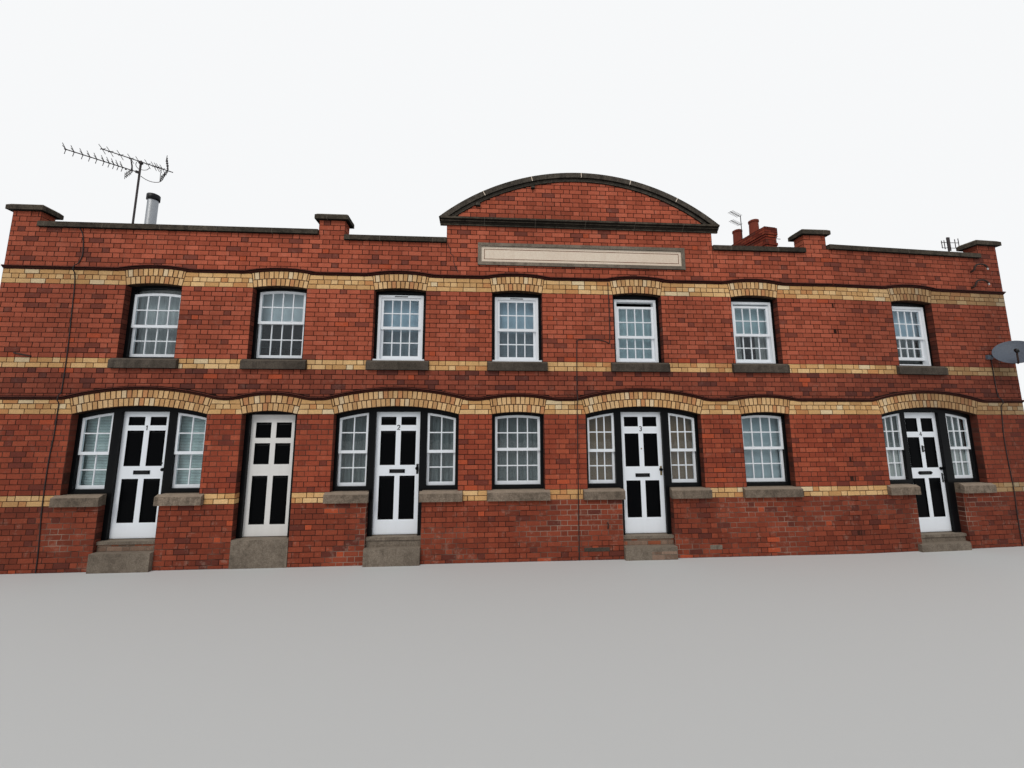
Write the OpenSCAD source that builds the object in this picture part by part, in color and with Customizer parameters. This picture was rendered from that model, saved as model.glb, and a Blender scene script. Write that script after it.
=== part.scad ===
// Terraced house row with an arched pediment, wavy string courses and panelled doors.
// Millimetres. X runs along the row, Y runs into the building, Z is up from the lowest ground.

/* [Row] */
// Length of the street front, measured along the wall
row_len = 18300; // [17800:50:19000]
// Depth from the street face to the back face
row_depth = 7600; // [6500:100:9000]
// Thickness of the brick walls, one brick
wall_t = 225; // [200:5:250]
// Angle in plan by which the right wing turns back from the street
wing_turn = 3.5; // [0:0.25:5]
// Height of one brick course with its joint
course = 83; // [80:0.5:86]

/* [Openings] */
// Width of the four wide entrance openings
entrance_w = 2050; // [1950:10:2150]
// Rise of the arch over an entrance opening
entrance_rise = 134; // [110:2:160]
// Width of the passage doorway
passage_w = 867; // [820:1:920]
// Rise of the arch over the passage doorway
passage_rise = 54; // [40:2:70]
// Width of a window opening
window_w = 887; // [840:1:930]
// Rise of the arch over a window opening
window_rise = 38; // [28:1:50]
// Total depth of the two rings of an arch
ring_t = 264; // [240:2:280]
// Depth of the reveal in front of a frame
reveal = 112; // [95:1:120]

/* [String courses] */
// Height of a moulded string
string_h = 57; // [48:1:70]
// How far a string stands out from the wall
string_out = 46; // [30:1:60]
// Width of the joints round each length of string
string_joint = 1; // [0.8:0.1:2]
// Radius of the sweep where a string leaves an arch
sweep_r = 560; // [450:10:650]

/* [Doors] */
// Width of a front door leaf
leaf_w = 758; // [720:2:780]
// Thickness of a door leaf
leaf_t = 45; // [40:1:50]
// Depth of the black frames from front to back
frame_t = 100; // [85:1:110]
// Gap round a door leaf
leaf_gap = 8; // [7:0.5:10]
// How far the door stops lap over the leaf
stop_lap = 10; // [6:1:14]
// Play between a closed leaf and its stops
leaf_play = 7; // [5:0.5:9]

/* [Pediment] */
// Width of the raised wall under the pediment
pediment_w = 4930; // [4600:10:5200]
// Radius of the outer curve of the pediment coping
pediment_r = 4046; // [3900:10:4200]
// Thickness of the curved coping, seen from the front
pediment_coping_h = 150; // [120:5:180]
// Height of the cornice under the pediment
cornice_h = 135; // [110:5:160]
// How far the cornice stands out
cornice_out = 112; // [80:2:140]
// Length of the blank name panel with its frame
plaque_w = 3815; // [3400:5:4100]
// Height of the blank name panel with its frame
plaque_h = 415; // [360:5:440]

/* [Parapet] */
// Width of a parapet pier
pier_w = 450; // [400:5:500]
// Thickness of the coping stones
coping_h = 90; // [70:5:110]
// How far the coping stones stand out
coping_out = 52; // [30:2:70]
// Length of one coping stone
coping_stone = 920; // [700:20:1200]
// Thickness of a pier cap
cap_h = 108; // [90:2:130]
// How far a pier cap stands out
cap_out = 64; // [40:2:80]

/* [Roof] */
// Height of the ridge
ridge_z = 6780; // [6300:20:7000]
// Height of the eaves at the back
eaves_z = 4880; // [4700:20:5000]
// Thickness of the roof slopes
slab_t = 90; // [70:5:120]
// Width of the chimney stack
stack_w = 395; // [330:5:460]
// Length of the chimney stack
stack_l = 1500; // [1300:20:2000]
// Height of the top of the chimney stack
stack_z = 8125; // [7800:25:8400]
// Turn of the chimney stack in plan
stack_turn = 8.5; // [0:0.5:15]
// Height of the top of the metal flue
flue_z = 6826; // [6500:25:7100]

/* [Hidden] */
$fn = 96;
stop_t = 52;
y_face = -row_depth / 2;
y_in = y_face + wall_t;
y_frame = y_face + reveal;
y_leaf = y_frame + stop_t + leaf_play;
y_upper_sash = y_frame + 16;
y_lower_sash = y_frame + 20;
y_back = row_depth / 2;
x_left = -row_len / 2;
x_right = row_len / 2;
bend_x = 5300;
bend_joint = 2;
wing_len = x_right - bend_x;
wing_back = wing_len * sin(wing_turn);
x_end = bend_x + wing_len * cos(wing_turn);

// Heights of the courses of the street front
z_low_band = 969;
z_low_sill = z_low_band + 2 * course;
z_low_spring = z_low_sill + 15 * course + 5;
z_low_flat = z_low_spring + 230;
z_mid_band = 3131;
z_up_sill = z_mid_band + 2 * course;
z_up_spring = z_up_sill + 15 * course - 9;
z_up_flat = z_up_spring + 244;
z_inner_coping = z_up_flat + string_h + 598;
z_wing_coping = z_inner_coping + course;
z_cap = z_wing_coping + 278;
z_cornice = z_cap - 28;
z_tympanum = z_cornice + cornice_h;
z_plaque = z_up_flat + string_h + 198;
z_raised = z_up_flat + string_h + 120;

// Places of the openings along the front
entrance_x = [-6737, -2672, 1553, 7032];
door_x = [-6737, -2672, 1553, 6992];
passage_x = -4727;
ground_window_x = [-640, 3766];
upper_x = [-6762, -4717, -2690, -647, 1532, 3748, 6975];
arched_count = 2;

// Heights of the door leaves and steps, and how far a lower step passes its recess
leaf_foot = [440, 426, 370, 268];
leaf_head = 2440;
passage_foot = 434;
passage_head = 2392;
step_low = [276, 262, 205, 123];
step_past = [[0, 0], [0, 0], [0, 0], [100, -83]];
threshold_h = 48;

// Joinery sizes
jamb_w = 54;
plain_recess = leaf_w + 2 * jamb_w + 2 * leaf_gap;
recess_w = [plain_recess, plain_recess, plain_recess, plain_recess + 113];
mullion_w = 112;
head_drop = 72;
sash_w = 42;
sash_t = 36;
sash_gap = 2;
foot_rail = 16;
glass_t = 4;
frame_foot = 72;
meeting_h = 48;
white_frame = 44;
white_proud = 6;
sill_out = 58;
low_sill_out = 66;
sill_fall = 34;
sill_nose = 36;
sill_over = 78;

// Meeting rails of the upper windows, drop of the upper sashes, lift of the lower ones
upper_mid = [3864, 3957, 3893, 3886, 3785, 3854, 3865];
upper_drop = [83, 0, 0, 0, 80, 28, 0];
upper_lift = [0, 0, 0, 0, 0, 0, 88];
low_window_mid = 1793;
passage_leaf_w = passage_w - 2 * jamb_w - 2 * leaf_gap;
sidelight_mid = 1765;

// Plan places of the parapet piers and the pediment
pier_x = [x_left + pier_w / 2, -3915, 5060, x_right - pier_w / 2];
pediment_x = 558;
pediment_over = 144;
pediment_z = z_tympanum
    - sqrt(pow(pediment_r, 2) - pow(pediment_w / 2 + pediment_over, 2));

// Inside and back of the house
floor_t = 90;
upper_floor_z = 2760;
floor_drop = 12;
gutter_w = 420;
gutter_lap = 20;
eaves_over = 160;
gable_over = 190;
back_window_w = 900;
back_window_h = 1200;
back_low_w = 1100;
back_low_h = 1240;
back_rim = 60;
fit_gap = 2;

// Roof lines in Y and Z, and the places of what stands on the roof
ridge_y = (y_in + y_back) / 2;
gutter_y = y_in + wing_back + gutter_lap;
slope_y = gutter_y + gutter_w - 60;
roof_fall = (ridge_z - eaves_z) / (y_back - ridge_y);
verge_y = y_back + eaves_over;
verge_z = eaves_z - eaves_over * roof_fall + 30;
stack_x = x_right - 1989;
stack_y = ridge_y + 82;
stack_over = 29;
pot_at = [0.38, 0.83];
pot_h = 490;
pot_r = 145;
flue_x = x_left + 1230;
flue_y = slope_y + 360;
flue_r = 90;
mast_x = x_left + 1400;
mast_y = gutter_y + 130;
mast_z = 7140;
boom_turn = -50;
stack_mast = [181, 1040];
stack_mast_h = 900;
stack_boom_turn = 20;
panel_mast = [x_right - 485, gutter_y + 170, 6130];

// Every opening of a storey as centre, width and rise
lower_openings = [[entrance_x[0], entrance_w, entrance_rise],
    [passage_x, passage_w, passage_rise],
    [entrance_x[1], entrance_w, entrance_rise],
    [ground_window_x[0], window_w, window_rise],
    [entrance_x[2], entrance_w, entrance_rise],
    [ground_window_x[1], window_w, window_rise],
    [entrance_x[3], entrance_w, entrance_rise]];
upper_openings = [for (x = upper_x) [x, window_w, window_rise]];

function arc_r(w, rise) = (w * w / 4 + rise * rise) / (2 * rise);

// Turns what stands beyond the bend with the right wing
module at_wall(x) {
    if (x > bend_x)
        translate([bend_x, y_in, 0])
            rotate([0, 0, wing_turn])
                translate([-bend_x, -y_in, 0])
                    children();
    else
        children();
}

// Raises a drawing of the front, in X and Z, to a slab between two depths
module slab(y0, y1) {
    translate([0, y1, 0])
        rotate([90, 0, 0])
            linear_extrude(y1 - y0)
                children();
}

// The same for a drawing that runs the whole length, parted where the wing turns
module front(y0, y1) {
    slab(y0, y1)
        intersection() {
            children();
            translate([x_left - 500, -100])
                square([bend_x - bend_joint - x_left + 500, 9000]);
        }
    at_wall(x_right)
        slab(y0, y1)
            intersection() {
                children();
                translate([bend_x + bend_joint, -100])
                    square([wing_len + 500, 9000]);
            }
}

// A block on the front wall, between two depths from its face
module block(x, w, z0, z1, d0, d1) {
    at_wall(x)
        translate([x - w / 2, y_face + d0, z0])
            cube([w, d1 - d0, z1 - z0]);
}

// Piers of wall left between openings, from one height to another
module piers(list, z0, z1) {
    front(y_face, y_in)
        difference() {
            translate([x_left, z0])
                square([row_len, z1 - z0]);
            for (o = list)
                translate([o[0] - o[1] / 2, z0 - 10])
                    square([o[1], z1 - z0 + 20]);
        }
}

// The wedge between the two skewbacks of an arch
module arch_wedge(o, z) {
    r = arc_r(o[1], o[2]);
    k = 1.6;
    translate([o[0], z - r + o[2]])
        polygon([[0, 0], [k * o[1] / 2, k * (r - o[2])], [-k * o[1] / 2, k * (r - o[2])]]);
}

// Two rings of headers over an opening
module arch_ring(o, z) {
    r = arc_r(o[1], o[2]);
    slab(y_face, y_in)
        intersection() {
            translate([o[0], z - r + o[2]])
                difference() {
                    circle(r + ring_t, $fn = 360);
                    circle(r, $fn = 360);
                }
            arch_wedge(o, z);
        }
}

// Sizes of the sweep that leads a string from the level over an arch
function hump_c(o, z) = z - arc_r(o[1], o[2]) + o[2];
function hump_r(o) = arc_r(o[1], o[2]) + ring_t;
function foot_dz(o, z, flat) = flat + sweep_r - hump_c(o, z);
function foot_x(o, z, flat) = sqrt(pow(hump_r(o) + sweep_r, 2) - pow(foot_dz(o, z, flat), 2));
function foot_a(o, z, flat) = atan2(foot_x(o, z, flat), foot_dz(o, z, flat));

// Points along a circle between two angles, both ends included
function arc_points(x, z, r, from, to, n) =
    [for (k = [0:n]) let (a = from + (to - from) * k / n) [x + r * cos(a), z + r * sin(a)]];

// Points of a wavy line over one opening, drawn off above it: a sweep, the arch, a sweep
function hump_line(o, z, flat, off) =
    let (a = foot_a(o, z, flat), fx = foot_x(o, z, flat), n = ceil(o[1] / 100), m = 5)
    concat(arc_points(o[0] - fx, flat + sweep_r, sweep_r - off, 270, 270 + a, m),
        [for (k = [1:n - 1]) let (t = 90 + a - 2 * a * k / n)
            [o[0] + (hump_r(o) + off) * cos(t), hump_c(o, z) + (hump_r(o) + off) * sin(t)]],
        arc_points(o[0] + fx, flat + sweep_r, sweep_r - off, 270 - a, 270, m));

// The whole wavy line from end to end of the row
function wavy_line(list, z, flat, off) =
    concat([[x_left, flat + off]], [for (o = list) each hump_line(o, z, flat, off)],
        [[x_right, flat + off]]);

// Yellow bricks between the arches, up to the wavy line
module arch_band(list, z, flat) {
    front(y_face, y_in)
        difference() {
            polygon(concat([[x_left, z]], wavy_line(list, z, flat, 0), [[x_right, z]]));
            for (o = list)
                arch_wedge(o, z);
        }
}

// Section of a string, height on it against depth, laid against a base line or radius
module string_section(base, sense) {
    roll = string_h * 0.44;
    low = string_joint;
    high = string_h - string_joint;
    function at(h, out) = [base + sense * h, out];
    polygon([at(low, -wall_t), at(low, 6), at(low + 8, 9), at(low + 12, string_out * 0.45),
        at(high - roll - 4, string_out * 0.6), at(high - roll, string_out * 0.84),
        at(high - roll * 0.72, string_out * 0.97), at(high - roll * 0.5, string_out),
        at(high - roll * 0.25, string_out * 0.97), at(high - 1, string_out * 0.8),
        at(high, string_out * 0.6), at(high, -wall_t)]);
}

// A curved length of string about a centre in the plane of the wall
module string_arc(x, z, r, sense, from, span) {
    part = asin(string_joint / r);
    translate([x, y_face, z])
        rotate([90, 0, 0])
            rotate([0, 0, from + part])
                rotate_extrude(angle = span - 2 * part, $fn = 360)
                    string_section(r, sense);
}

// A level length of string
module string_run(x0, x1, flat) {
    at_wall((x0 + x1) / 2)
        translate([x0 + string_joint, y_face, flat])
            rotate([0, -90, 180])
                linear_extrude(x1 - x0 - 2 * string_joint)
                    string_section(0, 1);
}

// One whole wavy string: level runs, sweeps and arcs, parted by fine joints
module string_course(list, z, flat) {
    n = len(list);
    ends = [for (o = list) [o[0] - foot_x(o, z, flat), o[0] + foot_x(o, z, flat)]];
    for (o = list) {
        a = foot_a(o, z, flat);
        fx = foot_x(o, z, flat);
        at_wall(o[0]) {
            string_arc(o[0], hump_c(o, z), hump_r(o), 1, 90 - a, 2 * a);
            string_arc(o[0] - fx, flat + sweep_r, sweep_r, -1, 270, a);
            string_arc(o[0] + fx, flat + sweep_r, sweep_r, -1, 270 - a, a);
        }
    }
    string_run(x_left, ends[0][0], flat);
    for (i = [0:n - 2])
        if (ends[i][1] < bend_x && ends[i + 1][0] > bend_x) {
            string_run(ends[i][1], bend_x - bend_joint, flat);
            string_run(bend_x + bend_joint, ends[i + 1][0], flat);
        } else
            string_run(ends[i][1], ends[i + 1][0], flat);
    string_run(ends[n - 1][1], x_right, flat);
}

// Outline of an opening from a level up to its arch, drawn in by an inset
module opening_shape(o, z0, z, inset, top) {
    r = arc_r(o[1], o[2]);
    intersection() {
        translate([o[0] - o[1] / 2 + inset, z0])
            square([o[1] - 2 * inset, z + o[2] - z0]);
        translate([o[0], z - r + o[2]])
            circle(r - top, $fn = 360);
    }
}

module plinth_wall() {
    color([0.56, 0.24, 0.18])
        front(y_face, y_in)
            difference() {
                translate([x_left, 0])
                    square([row_len, z_low_band]);
                for (i = [0:3])
                    translate([door_x[i] - recess_w[i] / 2, -10])
                        square([recess_w[i], z_low_band + 20]);
                translate([passage_x - passage_w / 2, -10])
                    square([passage_w, z_low_band + 20]);
            }
}

module ground_wall() {
    color([0.56, 0.24, 0.18])
        piers(lower_openings, z_low_sill, z_low_spring);
}

module middle_wall() {
    color([0.56, 0.24, 0.18])
        front(y_face, y_in)
            polygon(concat(wavy_line(lower_openings, z_low_spring, z_low_flat, string_h),
                [[x_right, z_mid_band], [x_left, z_mid_band]]));
}

module upper_wall() {
    color([0.56, 0.24, 0.18])
        piers(upper_openings, z_up_sill, z_up_spring);
}

module parapet_wall() {
    half = pier_w / 2;
    raised = [pediment_x - pediment_w / 2, pediment_x + pediment_w / 2];
    color([0.58, 0.25, 0.18])
        front(y_face, y_in)
            polygon(concat(wavy_line(upper_openings, z_up_spring, z_up_flat, string_h),
                [[x_right, z_cap], [pier_x[3] - half, z_cap], [pier_x[3] - half, z_wing_coping],
                    [pier_x[2] + half, z_wing_coping], [pier_x[2] + half, z_cap],
                    [pier_x[2] - half, z_cap], [pier_x[2] - half, z_inner_coping],
                    [raised[1], z_inner_coping], [raised[1], z_raised],
                    [raised[0], z_raised], [raised[0], z_inner_coping],
                    [pier_x[1] + half, z_inner_coping], [pier_x[1] + half, z_cap],
                    [pier_x[1] - half, z_cap], [pier_x[1] - half, z_wing_coping],
                    [pier_x[0] + half, z_wing_coping], [pier_x[0] + half, z_cap],
                    [x_left, z_cap]]));
}

module pediment_wall() {
    half = pediment_w / 2;
    color([0.58, 0.25, 0.18])
        slab(y_face, y_in) {
            translate([pediment_x - half, z_raised])
                square([pediment_w, z_tympanum - z_raised]);
            intersection() {
                translate([pediment_x, pediment_z])
                    circle(pediment_r - pediment_coping_h, $fn = 360);
                translate([pediment_x - half, z_tympanum - 1])
                    square([pediment_w, pediment_r]);
            }
        }
}

module sill_bands() {
    color([0.82, 0.66, 0.42]) {
        front(y_face, y_in)
            difference() {
                translate([x_left, z_low_band])
                    square([row_len, z_low_sill - z_low_band]);
                for (i = [0:3])
                    translate([entrance_x[i] - entrance_w / 2 - sill_over, z_low_band - 10])
                        square([entrance_w + 2 * sill_over, 2 * course + 20]);
                for (x = ground_window_x)
                    translate([x - window_w / 2 - sill_over, z_low_band - 10])
                        square([window_w + 2 * sill_over, 2 * course + 20]);
                translate([passage_x - passage_w / 2, z_low_band - 10])
                    square([passage_w, 2 * course + 20]);
            }
        front(y_face, y_in)
            difference() {
                translate([x_left, z_mid_band])
                    square([row_len, z_up_sill - z_mid_band]);
                for (x = upper_x)
                    translate([x - window_w / 2 - sill_over, z_mid_band - 10])
                        square([window_w + 2 * sill_over, 2 * course + 20]);
            }
    }
}

module lower_arch_band() {
    color([0.82, 0.66, 0.42])
        arch_band(lower_openings, z_low_spring, z_low_flat);
}

module upper_arch_band() {
    color([0.82, 0.66, 0.42])
        arch_band(upper_openings, z_up_spring, z_up_flat);
}

module lower_arches() {
    color([0.86, 0.66, 0.43])
        for (o = lower_openings)
            at_wall(o[0])
                arch_ring(o, z_low_spring);
}

module upper_arches() {
    color([0.86, 0.68, 0.43])
        for (o = upper_openings)
            at_wall(o[0])
                arch_ring(o, z_up_spring);
}

module lower_string() {
    color([0.25, 0.15, 0.13])
        string_course(lower_openings, z_low_spring, z_low_flat);
}

module upper_string() {
    color([0.25, 0.15, 0.13])
        string_course(upper_openings, z_up_spring, z_up_flat);
}

// Coping stones between two places along the front, parted by fine joints
module coping_run(x0, x1, z) {
    n = round((x1 - x0) / coping_stone);
    long = (x1 - x0) / n;
    back = wall_t + coping_out;
    at_wall((x0 + x1) / 2)
        for (k = [0:n - 1])
            translate([x0 + k * long + string_joint, y_face, z])
                rotate([90, 0, 90])
                    linear_extrude(long - 2 * string_joint)
                        polygon([[-coping_out, 0], [back, 0], [back, coping_h * 0.8],
                            [wall_t * 0.5, coping_h * 1.12], [-coping_out * 0.88, coping_h]]);
}

module parapet_copings() {
    half = pier_w / 2;
    color([0.3, 0.28, 0.26]) {
        coping_run(pier_x[0] + half, pier_x[1] - half, z_wing_coping);
        coping_run(pier_x[1] + half, pediment_x - pediment_w / 2, z_inner_coping);
        coping_run(pediment_x + pediment_w / 2, pier_x[2] - half, z_inner_coping);
        coping_run(max(pier_x[2] + half, bend_x + bend_joint), pier_x[3] - half,
            z_wing_coping);
    }
}

// Outline of a pier cap seen from one side, half its spread given
module cap_side(run) {
    polygon([[-run, 0], [run, 0], [run, cap_h * 0.7], [run - cap_h * 0.35, cap_h],
        [cap_h * 0.35 - run, cap_h], [-run, cap_h * 0.7]]);
}

module pier_caps() {
    wide = pier_w / 2 + cap_out;
    deep = wall_t / 2 + cap_out;
    color([0.3, 0.29, 0.27])
        for (x = pier_x)
            at_wall(x)
                translate([x, y_face + wall_t / 2, z_cap])
                    intersection() {
                        rotate([90, 0, 0])
                            linear_extrude(3 * deep, center = true)
                                cap_side(wide);
                        rotate([90, 0, 90])
                            linear_extrude(3 * wide, center = true)
                                cap_side(deep);
                    }
}

// Section of the cornice, depth in front of the wall against height
module cornice_section() {
    polygon([[0, 0], [-cornice_out * 0.3, 0], [-cornice_out * 0.3, cornice_h * 0.2],
        [-cornice_out * 0.42, cornice_h * 0.22], [-cornice_out * 0.5, cornice_h * 0.34],
        [-cornice_out * 0.68, cornice_h * 0.42], [-cornice_out * 0.68, cornice_h * 0.56],
        [-cornice_out * 0.8, cornice_h * 0.62], [-cornice_out, cornice_h * 0.68],
        [-cornice_out, cornice_h * 0.94], [-cornice_out * 0.8, cornice_h], [0, cornice_h]]);
}

module pediment_cornice() {
    over = cornice_out - 6;
    color([0.31, 0.29, 0.26])
        translate([pediment_x - pediment_w / 2 - over, y_face, z_cornice])
            rotate([90, 0, 90])
                linear_extrude(pediment_w + 2 * over)
                    cornice_section();
}

// Part of a ring about the pediment centre between two angles from the crown
module ring_part(r_in, r_out, from, to) {
    far = 1.2 * r_out;
    intersection() {
        difference() {
            circle(r_out, $fn = 360);
            circle(r_in, $fn = 360);
        }
        polygon([[0, 0], [far * sin(from), far * cos(from)],
            [far * sin((from + to) / 2), far * cos((from + to) / 2)],
            [far * sin(to), far * cos(to)]]);
        translate([-pediment_r, z_tympanum - pediment_z])
            square([2 * pediment_r, pediment_r]);
    }
}

module pediment_coping() {
    r = pediment_r;
    bed = r - pediment_coping_h * 0.62;
    reach = acos((z_tympanum - pediment_z) / r);
    n = round(2 * reach / 180 * PI * r / coping_stone);
    part = asin(string_joint / r);
    color([0.31, 0.29, 0.26]) {
        for (k = [0:n - 1])
            slab(y_face - coping_out * 1.25, y_in + coping_out)
                translate([pediment_x, pediment_z])
                    ring_part(bed, r, -reach + 2 * reach * k / n + part,
                        -reach + 2 * reach * (k + 1) / n - part);
        slab(y_face - coping_out * 0.45, y_in)
            translate([pediment_x, pediment_z])
                ring_part(r - pediment_coping_h, bed - string_joint, -reach, reach);
    }
}

module plaque_frame() {
    rim = 62;
    color([0.45, 0.42, 0.38])
        slab(y_face - 34, y_face)
            difference() {
                translate([pediment_x - plaque_w / 2, z_plaque])
                    square([plaque_w, plaque_h]);
                translate([pediment_x - plaque_w / 2 + rim, z_plaque + rim])
                    square([plaque_w - 2 * rim, plaque_h - 2 * rim]);
            }
}

module plaque_panel() {
    rim = 62;
    color([0.87, 0.81, 0.7])
        slab(y_face - 12, y_face)
            translate([pediment_x - plaque_w / 2 + rim, z_plaque + rim])
                square([plaque_w - 2 * rim, plaque_h - 2 * rim]);
}

// A stone sill between two places along the front; its weathered nose has its own ends
module sill(x0, x1, nose0, nose1, z, out) {
    at_wall((x0 + x1) / 2) {
        translate([x0, y_face, z])
            cube([x1 - x0, wall_t, 2 * course]);
        translate([nose0, y_face, z])
            rotate([90, 0, 90])
                linear_extrude(nose1 - nose0)
                    polygon([[-out, 0], [0, 0], [0, 2 * course],
                        [-out, 2 * course - sill_fall]]);
    }
}

module upper_sills() {
    half = window_w / 2 + sill_over;
    color([0.29, 0.27, 0.25])
        for (x = upper_x)
            sill(x - half, x + half, x - half, x + half, z_mid_band, sill_out);
}

module lower_sills() {
    half = window_w / 2 + sill_over;
    edge = entrance_w / 2 + sill_over;
    color([0.47, 0.43, 0.39]) {
        for (x = ground_window_x)
            sill(x - half, x + half, x - half, x + half, z_low_band, low_sill_out);
        for (i = [0:3]) {
            left = door_x[i] - recess_w[i] / 2;
            right = door_x[i] + recess_w[i] / 2;
            x0 = entrance_x[i] - edge;
            x1 = entrance_x[i] + edge;
            sill(x0, left, x0, left + sill_nose, z_low_band, low_sill_out);
            sill(right, x1, right - sill_nose, x1, z_low_band, low_sill_out);
        }
    }
}

module doorsteps() {
    color([0.46, 0.43, 0.38]) {
        for (i = [0:3]) {
            x = door_x[i];
            w = recess_w[i];
            past = step_past[i];
            top = leaf_foot[i] - floor_drop;
            block(x, w, 0, step_low[i], 0, wall_t);
            block(x + (past[1] - past[0]) / 2, w + past[0] + past[1], 0, step_low[i], -70, 0);
            block(x, w, step_low[i], top - threshold_h, 60, wall_t);
            block(x, w, top - threshold_h, top, 38, wall_t);
        }
        block(passage_x, passage_w, 0, passage_foot - floor_drop, -12, wall_t);
    }
}

// Outline of one entrance, wide above the sills and door-wide below
module entrance_outline(i) {
    o = [entrance_x[i], entrance_w, entrance_rise];
    opening_shape(o, z_low_sill, z_low_spring, 0, 0);
    translate([door_x[i] - recess_w[i] / 2, leaf_foot[i] - floor_drop])
        square([recess_w[i], z_low_sill + 1 - leaf_foot[i] + floor_drop]);
}

// The two lights beside a door, drawn in by an inset and lifted at the foot
module sidelight_shape(i, inset, foot) {
    x = entrance_x[i];
    o = [x, entrance_w, entrance_rise];
    near = leaf_w / 2 + mullion_w + inset;
    difference() {
        opening_shape(o, z_low_sill + frame_foot + inset + foot, z_low_spring,
            jamb_w + inset, head_drop + inset);
        translate([x - near, z_low_sill])
            square([2 * near, entrance_w]);
    }
}

module door_hole(x, w, foot, head, lap) {
    half = w / 2 + leaf_gap - lap;
    translate([x - half, foot - 40])
        square([2 * half, head - foot + leaf_gap - lap + 40]);
}

module entrance_frames() {
    color([0.07, 0.07, 0.08]) {
        for (i = [0:3])
            at_wall(entrance_x[i]) {
                slab(y_frame, y_frame + stop_t)
                    difference() {
                        entrance_outline(i);
                        sidelight_shape(i, 0, 0);
                        door_hole(door_x[i], leaf_w, leaf_foot[i], leaf_head,
                            stop_lap + leaf_gap);
                    }
                slab(y_frame + stop_t, y_frame + frame_t)
                    difference() {
                        entrance_outline(i);
                        sidelight_shape(i, 0, 0);
                        door_hole(door_x[i], leaf_w, leaf_foot[i], leaf_head, 0);
                    }
            }
        o = [passage_x, passage_w, passage_rise];
        slab(y_frame, y_frame + stop_t)
            difference() {
                opening_shape(o, passage_foot - floor_drop, z_low_spring, 0, 0);
                door_hole(passage_x, passage_leaf_w, passage_foot, passage_head,
                    stop_lap + leaf_gap);
            }
        slab(y_frame + stop_t, y_frame + frame_t)
            difference() {
                opening_shape(o, passage_foot - floor_drop, z_low_spring, 0, 0);
                door_hole(passage_x, passage_leaf_w, passage_foot, passage_head, 0);
            }
    }
}

// Clear light of an arched window, drawn in by an inset and lifted at its foot
module arched_light(o, z0, z, inset, foot) {
    opening_shape(o, z0 + 40 + inset + foot, z, jamb_w + inset, 48 + inset);
}

// Clear light of a window with a level head
module level_light(o, z0, z, inset, foot) {
    translate([o[0] - o[1] / 2 + jamb_w + inset, z0 + 24 + inset + foot])
        square([o[1] - 2 * (jamb_w + inset), z - z0 - 76 - 2 * inset - foot]);
}

// Drawn parts above and below a level
module above(x, z) {
    intersection() {
        children();
        translate([x - entrance_w, z])
            square([2 * entrance_w, 2 * entrance_w]);
    }
}

module below(x, z) {
    intersection() {
        children();
        translate([x - entrance_w, z - 2 * entrance_w])
            square([2 * entrance_w, 2 * entrance_w]);
    }
}

// Two sashes, the upper one in front. First child: the clear light; second: the same
// drawn in by a stile
module sash_pair(x, mid, y, drop, lift) {
    half = meeting_h / 2;
    slab(y, y + sash_t)
        difference() {
            above(x, mid - half)
                translate([0, -drop])
                    children(0);
            above(x, mid + half)
                translate([0, -drop])
                    children(1);
        }
    slab(y + sash_t + sash_gap, y + 2 * sash_t + sash_gap)
        difference() {
            below(x, mid + half)
                translate([0, lift])
                    children(0);
            below(x, mid - half)
                translate([0, lift])
                    children(1);
        }
}

// The panes of two sashes; the child is the clear light drawn in by a stile
module pane_pair(x, mid, y, drop, lift) {
    half = meeting_h / 2;
    set = (sash_t - glass_t) / 2;
    slab(y + set, y + set + glass_t)
        above(x, mid + half)
            translate([0, -drop])
                children();
    slab(y + set + sash_t + sash_gap, y + set + sash_t + sash_gap + glass_t)
        below(x, mid - half)
            translate([0, lift])
                children();
}

module window_boxes() {
    color([0.07, 0.07, 0.08]) {
        for (i = [0:6])
            at_wall(upper_x[i])
                slab(y_frame, y_frame + frame_t)
                    difference() {
                        opening_shape(upper_openings[i], z_up_sill, z_up_spring, 0, 0);
                        if (i < arched_count)
                            arched_light(upper_openings[i], z_up_sill, z_up_spring, 0, 0);
                        else
                            level_light(upper_openings[i], z_up_sill, z_up_spring, 0, 0);
                    }
        for (i = [3, 5])
            slab(y_frame, y_frame + frame_t)
                difference() {
                    opening_shape(lower_openings[i], z_low_sill, z_low_spring, 0, 0);
                    arched_light(lower_openings[i], z_low_sill + 30, z_low_spring, 0, 0);
                }
    }
}

module upper_sashes() {
    color([0.86, 0.88, 0.9])
        for (i = [0:6]) {
            o = upper_openings[i];
            at_wall(o[0])
                if (i < arched_count)
                    sash_pair(o[0], upper_mid[i], y_upper_sash, upper_drop[i], upper_lift[i]) {
                        arched_light(o, z_up_sill, z_up_spring, 0, 0);
                        arched_light(o, z_up_sill, z_up_spring, sash_w, foot_rail);
                    }
                else {
                    slab(y_frame - white_proud, y_frame + frame_t)
                        difference() {
                            level_light(o, z_up_sill, z_up_spring, 0, 0);
                            level_light(o, z_up_sill, z_up_spring, white_frame, -white_frame / 2);
                        }
                    sash_pair(o[0], upper_mid[i], y_upper_sash, upper_drop[i], upper_lift[i]) {
                        level_light(o, z_up_sill, z_up_spring, white_frame + 1,
                            -white_frame / 2);
                        level_light(o, z_up_sill, z_up_spring, white_frame + sash_w,
                            foot_rail - white_frame / 2);
                    }
                }
        }
}

module lower_sashes() {
    color([0.86, 0.88, 0.9]) {
        for (i = [0:3])
            at_wall(entrance_x[i])
                sash_pair(entrance_x[i], sidelight_mid, y_lower_sash, 0, 0) {
                    sidelight_shape(i, 0, 0);
                    sidelight_shape(i, sash_w - 4, foot_rail);
                }
        for (i = [3, 5])
            sash_pair(lower_openings[i][0], low_window_mid, y_lower_sash, 0, 0) {
                arched_light(lower_openings[i], z_low_sill + 30, z_low_spring, 0, 0);
                arched_light(lower_openings[i], z_low_sill + 30, z_low_spring, sash_w,
                    foot_rail);
            }
    }
}

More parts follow.
